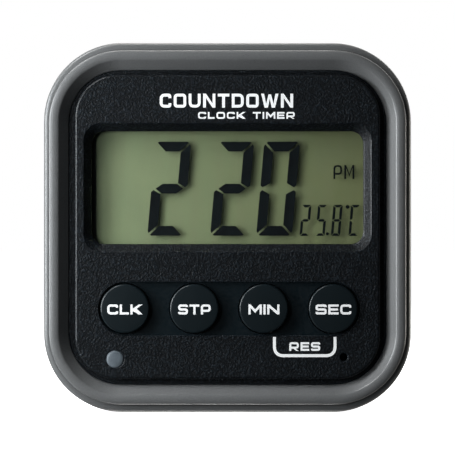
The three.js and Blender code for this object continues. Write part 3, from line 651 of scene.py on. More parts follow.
def make_bezel():
    profile = [(0, BEZEL_FOOT)]
    profile += crest_profile()
    profile += arc(SLOPE_FOOT - 0.12, CREST_Z - 2.26, 0.12, 90 - SLOPE_TILT, 0, 3)
    profile += [(SLOPE_FOOT, LEDGE_TOP), (LEDGE_IN, LEDGE_TOP), (LEDGE_IN, LEDGE_BACK)]
    profile += [(SLOPE_FOOT - 1.6, LEDGE_BACK), (SLOPE_FOOT - 1.6, BEZEL_FOOT)]
    ring = swept("bezel_ring", bezel.w, bezel.h, BEZEL_R, 0, bezel.cy, profile, closed=True)
    bosses = []
    for node in CASE_SCREWS:
        screw = Span(node)
        bosses.append(turned("boss", [(2.3, bezel.back), (2.4, LEDGE_TOP - 0.2)], screw.cx, screw.cy, 40))
    for node in BOARD_SCREWS:
        screw = Span(node)
        low = Span("main_board").front + 0.1
        bosses.append(turned("boss", [(1.85, low), (1.9, LEDGE_TOP - 0.2)], screw.cx, screw.cy, 40))
    fuse(ring, bosses)
    bores = []
    for node, radius in [(n, 1.05) for n in CASE_SCREWS] + [(n, 0.75) for n in BOARD_SCREWS]:
        screw = Span(node)
        bores.append(drum("bore", screw, radius, bezel.back - 1, LEDGE_TOP - 1.1, 32))
    carve(ring, bores)
    even_normals(ring)
    return finish_piece(ring, CASE_GREY, "case", "front_bezel")


# ---- face panel

PLATEAU_W = 57.2
PLATEAU_H = 57.1
PLATEAU_R = 7.6
PLATEAU_Y = panel.cy + 0.1
FILLET = 0.46
FLANGE_Z = CREST_Z - 2.4
WINDOW_W = 51.8
WINDOW_H = 21.5
WINDOW_R = 2.4
FLARE = 1.5
FLARE_DEPTH = 1.2
TROUGH_Z = PLATEAU_Z - 0.8
KEY_SPANS = {node: Span(node) for node in KEYS}
KEY_Y = KEY_SPANS[KEYS[0]].cy
KEY_R = KEY_SPANS[KEYS[0]].w / 2 - 0.8
TROUGH_R = KEY_R + 0.45
TROUGH_X = (KEY_SPANS[KEYS[0]].cx + KEY_SPANS[KEYS[3]].cx) / 2
TROUGH_W = KEY_SPANS[KEYS[3]].cx - KEY_SPANS[KEYS[0]].cx + 2 * TROUGH_R
LAMP_R = lamp.w / 2 - 0.6
SENSOR_R = 0.7


def window_cutter():
    lip = PLATEAU_Z - FLARE_DEPTH - 0.12
    profile = [(-0.5, PLATEAU_Z + 0.5, WINDOW_R + 1.2)]
    profile += [(-0.12, PLATEAU_Z + 0.01, WINDOW_R + 0.95), (0.03, PLATEAU_Z - 0.04, WINDOW_R + 0.9)]
    profile += [(FLARE - 0.13, lip + 0.09, WINDOW_R + 0.1), (FLARE - 0.05, lip + 0.01, WINDOW_R + 0.03)]
    profile += [(FLARE, lip - 0.08, WINDOW_R), (FLARE, PANEL_BACK - 1, WINDOW_R)]
    w, h = WINDOW_W + 2 * FLARE, WINDOW_H + 2 * FLARE
    return swept("window", w, h, 1, DISPLAY_X, DISPLAY_Y, profile)


def make_panel():
    flange_r = BEZEL_R - SLOPE_FOOT - 0.1
    rim = [(0, PANEL_BACK), (0, FLANGE_Z - 0.1), (0.1, FLANGE_Z)]
    flange = swept("face", panel.w, panel.h, flange_r, 0, panel.cy, rim)
    side = [(0, PANEL_BACK + 0.2), (0, FLANGE_Z + 0.2)]
    side += arc(FILLET, PLATEAU_Z - FILLET, FILLET, 180, 90, 10)
    top_w, top_h = PLATEAU_W + 2 * FILLET, PLATEAU_H + 2 * FILLET
    plateau = swept("plateau", top_w, top_h, PLATEAU_R + FILLET, 0, PLATEAU_Y, side)
    fuse(flange, [plateau])
    tab_top = front_glass.y1 + 0.3
    seat = brick(
        "seat", lens.x0 - 0.3, lens.x1 + 0.3, lens.y0 - 0.3, tab_top, PANEL_BACK - 1, lens.front + 0.05
    )
    trough = pocket(
        "trough", TROUGH_W, 2 * TROUGH_R, TROUGH_R - 0.001, TROUGH_X, KEY_Y,
        PLATEAU_Z, PLATEAU_Z - TROUGH_Z, 0.1,
    )
    bore = [(KEY_R + 0.3, PLATEAU_Z + 1), (KEY_R + 0.3, TROUGH_Z + 0.05)]
    bore += [(KEY_R + 0.2, TROUGH_Z - 0.05), (KEY_R + 0.2, PANEL_BACK - 1)]
    holes = [turned("hole", bore, span.cx, span.cy, 96) for span in KEY_SPANS.values()]
    lamp_hole = round_pocket("lamp_hole", LAMP_R + 0.06, lamp.cx, lamp.cy, PLATEAU_Z, 4, 0.1)
    funnel = ((0.4, 0.4), (0.22, 0.01), (0.02, -0.22), (0, -0.3))
    vent = [(SENSOR_R + u, PLATEAU_Z + v) for u, v in funnel] + [(SENSOR_R, PANEL_BACK - 1)]
    sensor_hole = turned("sensor_hole", vent, sensor.cx, sensor.cy, 48)
    carve(flange, [seat, window_cutter(), trough, *holes, lamp_hole, sensor_hole])
    even_normals(flange)
    face_black = face_plastic(TROUGH_W / 2 + 0.3, TROUGH_R + 0.3, TROUGH_X, KEY_Y, PLATEAU_Z - 0.5)
    return finish_piece(flange, face_black, "face", "face_panel")


# ---- keys

KEY_TOP = KEY_SPANS[KEYS[0]].front - 0.08
KEY_EDGE = 0.34
CROWN = 0.08


def crown_height(r):
    """Height of a key's slightly crowned top at radius r."""
    share = max(0.0, 1 - (r / (KEY_R - KEY_EDGE)) ** 2)
    return KEY_TOP + CROWN * share


def make_key(node):
    span = KEY_SPANS[node]
    flange_r = span.w / 2
    profile = [(1.9, span.back), (2.2, span.back + 0.3), (2.2, PANEL_BACK - 1)]
    profile += [(flange_r - 0.1, PANEL_BACK - 1), (flange_r, PANEL_BACK - 0.9), (flange_r, PANEL_BACK - 0.2)]
    profile += [(flange_r - 0.1, PANEL_BACK - 0.1), (KEY_R, PANEL_BACK - 0.1)]
    profile += arc(KEY_R - KEY_EDGE, KEY_TOP - KEY_EDGE, KEY_EDGE, 0, 90, 8)
    profile += [(r, crown_height(r)) for r in (3.6, 2.8, 2.0, 1.2, 0.4)]
    return finish_piece(
        turned(node + "_cap", profile, span.cx, span.cy, 128), KEY_BLACK, "key", node, body=node + "_body"
    )


# ---- silicone sheet under the keys

DOME_R = 3.9
SHEET_THICK = 0.8
DOME_WALL = 0.6


def make_key_sheet():
    """The sheet, and under each key a hollow dome; in the real keypad it flattens as the key goes down, here
    it is drawn at rest only.
    """
    sheet = Span("key_dome_sheet")
    low, top = sheet.back, sheet.front
    sides = [(0.1, low), (0, low + 0.1), (0, low + SHEET_THICK - 0.1), (0.1, low + SHEET_THICK)]
    slab = swept("key_sheet", sheet.w, sheet.h, 1.5, sheet.cx, sheet.cy, sides, steps=8)
    hole = [(DOME_R - 0.03, low - 1), (DOME_R - 0.03, low + 2)]
    carve(slab, [turned("hole", hole, KEY_SPANS[node].cx, sheet.cy, 64) for node in KEYS])
    finish_piece(slab, SILICONE, "silicone", "key_dome_sheet")
    under = DOME_R - DOME_WALL
    for node in KEYS:
        profile = [(0.1, top - DOME_WALL), (1.8, top - DOME_WALL), (under, low + 0.4), (under, low)]
        profile += [(DOME_R, low), (DOME_R, low + SHEET_THICK), (2.55, top - 0.12), (2.4, top), (0.1, top)]
        dome = turned(node + "_dome", profile, KEY_SPANS[node].cx, sheet.cy, 64)
        finish_piece(dome, SILICONE, "silicone")
        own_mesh(dome)


# ---- lettering: plain wide capitals, drawn with strokes of one width


def bend(points, radius, steps=6):
    """Rounds the inner corners of a line of points."""
    out = [Vector(points[0])]
    for before, here, after in zip(points, points[1:], points[2:]):
        before, here, after = Vector(before), Vector(here), Vector(after)
        back, ahead = (before - here), (after - here)
        reach = min(radius, back.length * 0.5, ahead.length * 0.5)
        start, end = here + back.normalized() * reach, here + ahead.normalized() * reach
        for i in range(steps + 1):
            t = i / steps
            out.append(start * (1 - t) ** 2 + here * 2 * t * (1 - t) + end * t**2)
    out.append(Vector(points[-1]))
    return out


def ribbon(points, width):
    """The outline of a line of points drawn with a pen of that width."""
    left, right = [], []
    for i, here in enumerate(points):
        into = (here - points[i - 1]).normalized() if i else None
        away = (points[i + 1] - here).normalized() if i + 1 < len(points) else None
        along = ((into or away) + (away or into)).normalized()
        normal = Vector((-along.y, along.x))
        square = Vector((-(away or into).y, (away or into).x))
        reach = width / 2 / max(0.4, normal.dot(square))
        left.append(here + normal * reach)
        right.append(here - normal * reach)
    return left + right[::-1]


WIDTHS = {"C": 1.0, "L": 0.84, "K": 1.12, "S": 1.0, "T": 1.0, "P": 1.0, "R": 1.04, "E": 0.94,
          "M": 1.16, "N": 1.06, "O": 1.08, "U": 1.04, "D": 1.04, "W": 1.5, "I": 0}


def glyph(letter, w, h, s):
    """Outlines of a capital w wide and h high with strokes s wide."""
    if letter == "I":
        return [[(0, 0), (s, 0), (s, h), (0, h)]]
    e = s / 2
    mid = h * 0.5
    turn = h * 0.26
    waist = h * 0.37

    def line(points, radius=turn):
        return ribbon(bend(points, radius), s)

    def bar(x0, x1, y0, y1):
        return [(x0, y0), (x1, y0), (x1, y1), (x0, y1)]

    rise = (h - mid + s * 0.9) / (w - s)

    def arm(x):
        return mid - s * 0.9 + rise * (x - s)

    bowl = line([(e, 0), (e, h - e), (w - e, h - e), (w - e, waist), (s, waist)], turn * 0.8)
    shapes = {
        "S": [line([(w - e, h * 0.74), (w - e, h - e), (e, h - e), (e, mid),
                    (w - e, mid), (w - e, e), (e, e), (e, h * 0.26)], turn * 0.62)],
        "C": [line([(w - e, h * 0.68), (w - e, h - e), (e, h - e), (e, e), (w - e, e), (w - e, h * 0.32)])],
        "U": [line([(e, h), (e, e), (w - e, e), (w - e, h)], turn * 1.1)],
        "O": [line([(w / 2, h - e), (e, h - e), (e, e), (w / 2, e)], turn * 1.1),
              line([(w / 2, e), (w - e, e), (w - e, h - e), (w / 2, h - e)], turn * 1.1)],
        "D": [bar(0, s, 0, h), line([(s, h - e), (w - e, h - e), (w - e, e), (s, e)], turn * 1.4)],
        "T": [bar(0, w, h - s, h), bar(w / 2 - e, w / 2 + e, 0, h - s)],
        "P": [bowl],
        "R": [bowl, [(w * 0.42, waist - e), (w - s * 1.3, 0), (w, 0), (w * 0.42 + s * 1.15, waist - e)]],
        "L": [bar(0, w, 0, s), bar(0, s, s, h)],
        "E": [bar(0, s, 0, h), bar(s, w, 0, s), bar(s, w * 0.94, mid - e, mid + e), bar(s, w, h - s, h)],
        "N": [bar(0, s, 0, h), bar(w - s, w, 0, h),
              [(s, h), (s, h - s * 1.5), (w - s, 0), (w - s, s * 1.5)]],
        "M": [bar(0, s, 0, h), bar(w - s, w, 0, h),
              [(s, h), (s, h - s * 1.55), (w / 2, h * 0.16), (w / 2, h * 0.16 + s * 1.55)],
              [(w / 2, h * 0.16 + s * 1.55), (w / 2, h * 0.16), (w - s, h - s * 1.55), (w - s, h)]],
        "W": [[(0, h), (w * 0.2, 0), (w * 0.2 + s * 1.15, 0), (w / 2, h * 0.95 - s * 1.5),
               (w * 0.8 - s * 1.15, 0), (w * 0.8, 0), (w, h), (w - s * 1.05, h),
               (w * 0.8 - s * 0.55, s * 1.3), (w / 2 + s * 0.45, h * 0.95),
               (w / 2 - s * 0.45, h * 0.95), (w * 0.2 + s * 0.55, s * 1.3), (s * 1.05, h)]],
        "K": [bar(0, s, 0, h),
              [(s, arm(s)), (w, h), (w - s * 1.7, h), (s, arm(s) + s * 1.7 * rise)],
              [(s * 1.15, arm(s * 1.15)), (w - s * 1.7, 0), (w, 0), (s * 2.85, arm(s * 2.85))]],
    }
    return shapes[letter]


def lettering(word, cx, cy, height, width, stroke, gap):
    """Outlines of a word centred on cx, cy, in millimetres."""
    letters = [c for c in word if c != " "]
    spare = width - gap * (len(word) - 1) - stroke * letters.count("I") - gap * 2 * word.count(" ")
    unit = spare / sum(WIDTHS[c] for c in letters)
    placed, x = [], cx - width / 2
    for c in word:
        w = gap * 2 if c == " " else WIDTHS[c] * unit or stroke
        if c != " ":
            placed += [[(x + px, cy - height / 2 + py) for px, py in o] for o in glyph(c, w, height, stroke)]
        x += w + gap
    return placed


INK = 0.012  # half the thickness of a printed shape


def level(z):
    """The height of a flat surface, for inked()."""
    return lambda x, y: z


def inked(name, outlines, height_at, material, slot, body="case"):
    """Thin printed shapes on a surface whose height is height_at(x, y)."""
    verts, faces = [], []
    for points in outlines:
        n, base = len(points), len(verts)
        verts += [(x, y, height_at(x, y) - INK) for x, y in points]
        verts += [(x, y, height_at(x, y) + INK) for x, y in points]
        faces += [tuple(base + i for i in range(n))[::-1], tuple(base + n + i for i in range(n))]
        faces += [(base + i, base + (i + 1) % n, base + n + (i + 1) % n, base + n + i) for i in range(n)]
    return finish_piece(make_object(name, verts, faces), material, slot, body=body)


KEY_WORDS = {"clock_button": ("CLK", 6.72), "stop_button": ("STP", 6.17), "minute_button": ("MIN", 5.89),
             "second_button": ("SEC", 6.8)}


def key_legend(node):
    span = KEY_SPANS[node]
    word, width = KEY_WORDS[node]

    def surface(x, y):
        return crown_height(math.hypot(x - span.cx, y - span.cy))

    outlines = lettering(word, span.cx + 0.02, span.cy - 0.13, 1.9, width, 0.42, 0.3)
    return inked(node + "_legend", outlines, surface, LEGEND_WHITE_GLOWING, "holder", node + "_body")


def face_legends():
    """The heading, and the bracket that joins the last two keys."""
    mid_x = (KEY_SPANS["minute_button"].cx + KEY_SPANS["second_button"].cx) / 2 + 1.18
    half_w, top, low = 5.77, KEY_Y - TROUGH_R - 0.25, KEY_Y - 8.94
    corners = [(mid_x - half_w, top), (mid_x - half_w, low), (mid_x + half_w, low), (mid_x + half_w, top)]
    for name, outlines in (
        ("reset_legend", lettering("RES", mid_x, KEY_Y - 7.2, 1.64, 5.89, 0.38, 0.34)),
        ("reset_bracket", [ribbon(bend(corners, 2.1, 12), 0.56)]),
        ("title_legend", lettering("COUNTDOWN", -0.2, DISPLAY_Y + 16.55, 2.66, 25.4, 0.54, 0.46)),
        ("second_legend", lettering("CLOCK TIMER", 3.6, DISPLAY_Y + 13.75, 1.3, 18.4, 0.31, 0.34)),
    ):
        inked(name, outlines, level(PLATEAU_Z), LEGEND_WHITE_GLOWING, "holder")


# ---- display


def seven_segments(lit, x0, y0, w, h, t, gap):
    """Outlines of the lit segments (letters a to g) of one leaning digit, t thick."""
    s = gap / math.sqrt(2)
    c = t * 0.28  # how far the outer corners are cut
    m = h / 2
    bar = [(s + c, h), (w - s - c, h), (w - s - c * 0.4, h - c * 0.35), (w - t - s, h - t), (t + s, h - t),
           (s + c * 0.4, h - c * 0.35)]
    post = [(w - t, h - t - s), (w - c * 0.4, h - s - c * 0.5), (w, h - s - c * 1.3), (w, m + t * 0.34),
            (w - t * 0.23, m + t * 0.14), (w - t, m + t * 0.57)]
    tip, corner = t * 0.43, t * 1.1
    shapes = {
        "a": bar,
        "b": post,
        "c": [(x, h - y) for x, y in post],
        "d": [(x, h - y) for x, y in bar],
        "e": [(w - x, h - y) for x, y in post],
        "f": [(w - x, y) for x, y in post],
        "g": [(tip, m), (corner, m - t / 2), (w - corner, m - t / 2), (w - tip, m), (w - corner, m + t / 2),
              (corner, m + t / 2)],
    }
    return [[(x0 + x + y * LEAN, y0 + y) for x, y in shapes[k]] for k in lit]


LEAN = math.tan(math.radians(5))
NUMERALS = {"2": "abged", "0": "abcdef", "5": "afgcd", "8": "abcdefg", "C": "afed"}
LARGE = (6.86, 17.96, 1.86, 0.34)  # width, height, stroke and gap between strokes
SMALL = (1.78, 5.94, 0.5, 0.1)


def chamfered(span, inset, rise):
    """The section of a flat sheet with its edges broken."""
    low, high = span.back, span.front
    return [(inset, low), (0, low + rise), (0, high - rise), (inset, high)]


def make_display():
    """The display's layers, with its numerals held between the two glasses."""
    reflector = swept(
        "reflector_sheet", display.w, display.h, 0.4, display.cx, display.cy,
        chamfered(display, 0.02, 0.03), steps=4,
    )
    finish_piece(reflector, REFLECTOR_WITH_PAINTED_LIGHT, "reflector", "lcd_reflector")
    for name, span, node, material, slot in (
        ("rear_glass", rear_glass, "lcd_rear_glass", CLEAR_GLASS, "lcd_glass"),
        ("front_glass", front_glass, "lcd_front_glass", CLEAR_GLASS, "lcd_glass"),
        ("window_sheet", lens, "window_lens", CLEAR_PLASTIC, "lens"),
    ):
        sheet = swept(name, span.w, span.h, 0.3, span.cx, span.cy, chamfered(span, 0.05, 0.05), steps=4)
        sheet.visible_shadow = False
        finish_piece(sheet, material, slot, node)

    between_glasses = level((rear_glass.front + front_glass.back) / 2)
    base_y = DISPLAY_Y - 9.16
    digits = [("large_digit_1", "2", -15.34, 0, LARGE), ("large_digit_2", "2", -3.33, 0, LARGE),
              ("large_digit_3", "0", 5.47, 0, LARGE), ("small_digit_1", "2", 13.76, -0.05, SMALL),
              ("small_digit_2", "5", 16.8, -0.05, SMALL), ("small_digit_3", "8", 19.74, -0.05, SMALL),
              ("celsius_letter", "C", 23.1, -0.05, SMALL)]
    for name, digit, x, y, form in digits:
        outlines = seven_segments(NUMERALS[digit], DISPLAY_X + x, base_y + y, *form)
        inked(name, outlines, between_glasses, SEGMENT_INK, "epoxy")
    point = circle(0.3, DISPLAY_X + 19.1, base_y + 0.35, 20)
    degree = circle(0.37, DISPLAY_X + 22.95, base_y + 5.5, 20)
    inked("point_and_degree", [point, degree], between_glasses, SEGMENT_INK, "epoxy")
    half_day = lettering("PM", DISPLAY_X + 22.25, DISPLAY_Y + 3.0, 2.67, 4.0, 0.36, 0.42)
    inked("half_day_mark", half_day, between_glasses, SEGMENT_INK, "epoxy")


# ---- lamp


def make_lamp():
    flange_r = lamp.w / 2
    top = lamp.front
    profile = [(flange_r - 0.1, lamp.back), (flange_r, lamp.back + 0.1), (flange_r, PANEL_BACK - 0.1)]
    profile += [(LAMP_R, PANEL_BACK - 0.1), (LAMP_R, top - 0.35)]
    profile += [(LAMP_R - 0.06, top - 0.22), (LAMP_R - 0.2, top - 0.12), (LAMP_R * 0.65, top - 0.05)]
    profile += [(LAMP_R * 0.3, top - 0.01), (0.1, top)]
    finish_piece(turned("lamp_window", profile, lamp.cx, lamp.cy, 64), FROSTED, "frosted", "led_diffuser")


# ---- rear housing

WALL = 1.9
FLOOR = 1.8
BACK_ROUND = 2.6
INSIDE = BACK + FLOOR
BAY_W, BAY_H = 51.2, 21.8
BAY_Y = door.y0 + 11.7
BAY_CEILING = 1.1
DOOR_W = door.w
DOOR_H = 23.4
HOOKS_X = (-18, 18)
HINGE_Y = pin.cy
HINGE_Z = pin.cz
STAND_GAP = 0.35
BARREL_R = 1.8
RIM_ROUND = 0.75


def make_housing():
    rim = arc(RIM_ROUND, LIP_Z - RIM_ROUND, RIM_ROUND, 180, 90, 8)
    heel = arc(BACK_ROUND, BACK + BACK_ROUND, BACK_ROUND, 270, 180, 14)
    shell = swept("housing", housing.w, housing.h, CASE_R, 0, housing.cy, heel + rim, steps=28)

    hollow = swept(
        "hollow", housing.w - 2 * WALL, housing.h - 2 * WALL, CASE_R - WALL, 0, housing.cy,
        [(0, INSIDE), (0, LIP_Z + 1)],
    )
    bay_walls = [(0, INSIDE - 1), (0, BAY_CEILING + 1)]
    kept = [swept("bay_block", BAY_W + 3.2, BAY_H + 3.2, 2.4, 0, BAY_Y, bay_walls, steps=6)]
    stand_mid = (HINGE_Y + BARREL_R + stand.y0) / 2
    stand_h = HINGE_Y + BARREL_R - stand.y0 + 2 * STAND_GAP
    stand_w = stand.w + 2 * STAND_GAP
    stand_walls = [(0, INSIDE - 1), (0, BACK + 4.4)]
    kept.append(swept("pocket_block", stand_w + 2.8, stand_h + 2.8, 3.4, 0, stand_mid, stand_walls, steps=6))
    trough_low, trough_high = HINGE_Y - BARREL_R - STAND_GAP, HINGE_Y + BARREL_R + STAND_GAP
    trough_top = HINGE_Z + BARREL_R + STAND_GAP
    block_x, block_y = stand_w / 2 + 2.6, (trough_low - 1.3, trough_high + 1.3)
    kept.append(brick("hinge_block", -block_x, block_x, *block_y, INSIDE - 1, trough_top + 1.3))
    for node in MAGNETS:
        m = Span(node)
        kept.append(drum("cup", m, m.w / 2 + 1, INSIDE - 1, m.front + 1, 48))
    for node in CASE_SCREWS:
        s = Span(node)
        kept.append(drum("post", s, 3.3, INSIDE - 1, bezel.back - 0.1, 40))
    kept.append(drum("piezo_seat", piezo, piezo.w / 2 + 1, INSIDE - 1, INSIDE + 2.2))
    carve(hollow, kept)

    edge = ((0, -0.07), (-0.03, -0.02), (-0.08, 0.01), (-0.08, 1))
    step = [(0, BEZEL_FOOT - 0.1)] + [(u, LIP_Z + v) for u, v in edge]
    tools = [
        hollow,
        swept("rebate", bezel.w + 0.08, bezel.h + 0.08, BEZEL_R + 0.04, 0, bezel.cy, step, steps=28),
        drum("piezo_room", piezo, piezo.w / 2 + 0.15, INSIDE + 1, INSIDE + 4),
        drum("piezo_air", piezo, piezo.w / 2 - 1.2, INSIDE, INSIDE + 4),
        pocket("door_seat", DOOR_W + 0.4, DOOR_H + 0.4, 0.25, 0, BAY_Y, BACK, 1.6, 0.12, -1),
        swept("bay", BAY_W, BAY_H, 0.8, 0, BAY_Y, [(0, BACK + 1), (0, BAY_CEILING)], steps=6),
    ]
    top = BAY_Y + BAY_H / 2
    for x in HOOKS_X:
        tools.append(brick("hook_slot", x - 2.8, x + 2.8, top - 1, top + 2.6, INSIDE, INSIDE + 2.6))
        tools.append(brick("hook_gap", x - 2.8, x + 2.8, top - 1, top + 0.4, BACK + 1, INSIDE + 1))
    for node in CASE_SCREWS:
        s = Span(node)
        tools.append(drum("screw_bore", s, 1.2, BACK - 1, LIP_Z, 32))
        tools.append(round_pocket("screw_sink", 2.45, s.cx, s.cy, BACK, 5.5, 0.2, -1, 48))
    for node in MAGNETS:
        m = Span(node)
        deep = m.front - BACK + 0.1
        tools.append(round_pocket("magnet_well", m.w / 2 + 0.1, m.cx, m.cy, BACK, deep, 0.12, -1))
    half, low, high = stand_w / 2, trough_low, trough_high
    tools += [
        pocket("stand_pocket", stand_w, stand_h, 2, 0, stand_mid, BACK, 2.75, 0.15, -1),
        brick("hinge_trough", -half, half, low, high, BACK + 0.2, trough_top),
        cross_bar("pin_bore", pin.h / 2 + 0.05, pin.x0 - 0.2, pin.x1 + 0.2, HINGE_Y, HINGE_Z, 32),
    ]
    for x, y, z in ((0, door.y0 - 0.6, BACK - 4.9), (0, stand.y0 - 0.2, BACK - 4.6)):
        tools.append(ball("thumb_notch", 6, x, y, z))
    for i in range(-2, 3):
        x = piezo.cx + 2.4 * i
        tools.append(pocket("sound_slot", 1.2, 7 - abs(i), 0.59, x, piezo.cy, BACK, FLOOR + 1, 0.12, -1))
    slot_x = slider.cx + 2
    tools.append(pocket("switch_well", 10.4, 5, 1, slot_x, slider.cy, BACK, 0.9, 0.12, -1))
    through = [(0, BACK + 0.5), (0, INSIDE + 1)]
    tools.append(swept("switch_slot", 6.6, 2.2, 0.4, slot_x, slider.cy, through, steps=6))
    carve(shell, tools)
    even_normals(shell)
    return finish_piece(shell, CASE_GREY, "case", "rear_housing")


# ---- battery door


def make_door():
    low = door.y0
    thick = 1.5
    axis_y = BAY_Y + DOOR_H / 2 - thick / 2
    edge = arc(0.25, BACK + 0.25, 0.25, 270, 180, 4) + [(0, BACK + thick)]
    edge = [(u, v, 0.5) for u, v in edge]
    plate = swept("door", DOOR_W, axis_y - low, 0.5, 0, (axis_y + low) / 2, edge, steps=6)
    parts = [cross_bar("door_edge", thick / 2, -DOOR_W / 2, DOOR_W / 2, axis_y, BACK + thick / 2)]
    for x in HOOKS_X:
        parts.append(brick("neck", x - 2.4, x + 2.4, axis_y - 1.2, axis_y, BACK + 1, BACK + 2.7))
        parts.append(brick("hook", x - 2.4, x + 2.4, axis_y - 1.2, axis_y + 2, BACK + 1.95, BACK + 2.7))
    fuse(plate, parts)
    grooves = []
    for i in (-1, 0, 1):
        half = 6 - abs(i)
        y = low + 4 + 1.3 * i
        grooves.append(pocket("grip", 2 * half, 0.6, 0.29, 0, y, BACK, 0.3, 0.08, -1))
    carve(plate, grooves)
    even_normals(plate)
    return finish_piece(plate, CASE_GREY, "case", "battery_door", body="door")


# ---- stand


def make_stand():
    leg_back = BACK + 0.2
    leg = swept(
        "stand", stand.w, HINGE_Y - stand.y0, 1.8, 0, (HINGE_Y + stand.y0) / 2,
        arc(0.4, leg_back + 0.4, 0.4, 270, 180, 5) + arc(0.3, leg_back + 1.9, 0.3, 180, 90, 4), steps=10,
    )
    barrel = cross_bar("barrel", BARREL_R, stand.x0, stand.x1, HINGE_Y, HINGE_Z)
    fuse(leg, [barrel])
    web = HINGE_Y - stand.y0 - 10
    tools = [
        pocket("web", stand.w - 6, web, 1.5, 0, stand.y0 + 11, leg_back + 2.2, 1.0, 0.15, 1),
        cross_bar("leg_bore", pin.h / 2 + 0.08, stand.x0 - 1, stand.x1 + 1, HINGE_Y, HINGE_Z, 32),
        brick("trim", stand.x0 - 1, stand.x1 + 1, HINGE_Y + 0.01, HINGE_Y + 4, BACK - 1, leg_back),
    ]
    for i in range(3):
        y = stand.y0 + 4 + 1.5 * i
        tools.append(pocket("grip", 14 - 2 * i, 0.7, 0.34, 0, y, leg_back, 0.3, 0.08, -1))
    carve(leg, tools)
    even_normals(leg)
    finish_piece(leg, CASE_GREY, "case", "stand_leg", body="stand")
    ends = [(pin.x0 + 0.001, HINGE_Y, HINGE_Z), (pin.x1 - 0.001, HINGE_Y, HINGE_Z)]
    rod = wire("hinge_pin", ends, pin.h / 2, 32)
    finish_piece(soften(rod, 0.1), STEEL, "steel", "stand_hinge_pin")


# ---- fasteners, magnets, switch


def make_screw(node, head_r, shank_r):
    """A pan head with a cross recess, and a shank with a thread, head towards the back."""
    s = Span(node)
    head_h = head_r * 0.7
    seat = s.back + head_h
    profile = [(0.05, s.back)]
    dome = ((0.3, 0.02), (0.55, 0.08), (0.75, 0.2), (0.9, 0.42), (0.98, 0.7))
    profile += [(head_r * u, s.back + head_h * v) for u, v in dome]
    profile += [(head_r, seat - 0.12), (head_r - 0.03, seat)]
    z, pitch = seat + 0.4, shank_r * 0.75
    profile += [(shank_r * 0.78, seat), (shank_r * 0.78, z)]
    while z + pitch < s.front - shank_r:
        profile += [(shank_r, z + pitch * 0.45), (shank_r, z + pitch * 0.55), (shank_r * 0.78, z + pitch)]
        z += pitch
    profile += [(0.1, s.front)]
    screw = turned(node + "_metal", profile, s.cx, s.cy, 32)
    reach, half = head_r * 0.6, head_r * 0.13
    deep = s.back + head_r * 0.35
    carve(screw, [
        brick("slot", s.cx - reach, s.cx + reach, s.cy - half, s.cy + half, s.back - 1, deep),
        brick("slot", s.cx - half, s.cx + half, s.cy - reach, s.cy + reach, s.back - 1, deep),
    ])
    finish_piece(screw, STEEL, "steel", node)


def make_magnet(node):
    m = Span(node)
    r = m.w / 2
    profile = [(0.1, BACK)] + [(r - 0.3 + u, v) for u, v in arc(0, BACK + 0.3, 0.3, -90, 0, 6)]
    profile += [(r, m.front - 0.1), (r - 0.1, m.front)]
    finish_piece(turned(node + "_disc", profile, m.cx, m.cy, 96), NICKEL, "nickel", node)


def make_slider():
    """The ribbed knob on the back, its stem through the case and the fork that moves the switch."""
    cx, cy = slider.cx, slider.cy
    knob = swept(
        "slide_knob", 5.2, 4, 0.6, cx, cy,
        arc(0.15, BACK + 0.45, 0.15, 270, 180, 3) + [(0, BACK + 0.8)], steps=8,
    )
    parts = [brick("stem", cx - 1, cx + 1, cy - 0.9, cy + 0.9, BACK + 0.6, INSIDE + 0.4)]
    parts.append(swept("inner_flange", 4.6, 4, 0.6, cx, cy, [(0, INSIDE + 0.1), (0, INSIDE + 1)], steps=6))
    parts.append(brick("fork", cx - 0.9, cx + 0.9, cy - 0.9, cy + 0.9, INSIDE + 0.8, slider.front))
    for i in (-1, 0, 1):
        x = cx + 1.1 * i
        profile = arc(0.2, BACK + 0.3, 0.2, 270, 180, 4) + [(0, BACK + 0.5)]
        profile = [(u, v, 0.24 - u * 0.9) for u, v in profile]
        parts.append(swept("rib", 0.5, 3.8, 0.24, x, cy, profile, steps=4))
    fuse(knob, parts)
    even_normals(knob)
    finish_piece(knob, KEY_BLACK, "key", "mode_slider", body="slider")


# ---- batteries and contacts


def make_cell(node):
    """A cell lying along x, with its plus end towards the side where its box ends furthest out."""
    c = Span(node)
    plus = 1 if c.x1 > -c.x0 else -1
    r = c.h / 2
    tip = c.x1 if plus > 0 else c.x0
    base = c.x0 if plus > 0 else c.x1
    length = abs(tip - base)

    def lathe(name, profile):
        rings = []
        for radius, along in profile:
            x = base + plus * along
            rings.append([(x, c.cy + u, c.cz + v) for u, v in circle(radius, 0, 0, 72)])
        return stacked(name, rings)

    can_end = length - 0.8
    lip = 0.35
    body = [(r - 1.2, 0.12), (r - 0.9, 0.02), (r - lip, 0), (r - 0.1, 0.12), (r, lip + 0.05)]
    split = can_end - 9
    body += [(r, split)]
    sleeve = lathe(node + "_sleeve", body)
    finish_piece(sleeve, SLEEVE, "cell", node)
    band = [(r, split), (r, can_end - lip), (r - 0.1, can_end - 0.12), (r - lip, can_end)]
    band += [(r - 0.9, can_end - 0.02)]
    finish_piece(lathe(node + "_band", band), COPPER, "cell")
    nub = [(r - 1.0, can_end - 0.3), (2.3, can_end - 0.28), (1.95, can_end - 0.1)]
    nub += [(1.9, length - 0.25), (1.75, length - 0.06), (1.5, length)]
    finish_piece(lathe(node + "_nub", nub), NICKEL, "nickel")


def make_spring(node, cell_node):
    s = Span(node)
    cell = Span(cell_node)
    outer = -1 if s.cx < 0 else 1
    start = s.x0 + 0.32 if outer < 0 else s.x1 - 0.32
    end = s.x1 - 0.32 if outer < 0 else s.x0 + 0.32
    points = coil_points((cell.cy, cell.cz), start, end, 3.55, 2.35, 4)
    finish_piece(wire(node + "_coil", points, 0.28), NICKEL, "nickel", node)


# ---- CAD nodes whose shape stays: a material, welded corners and softened edges

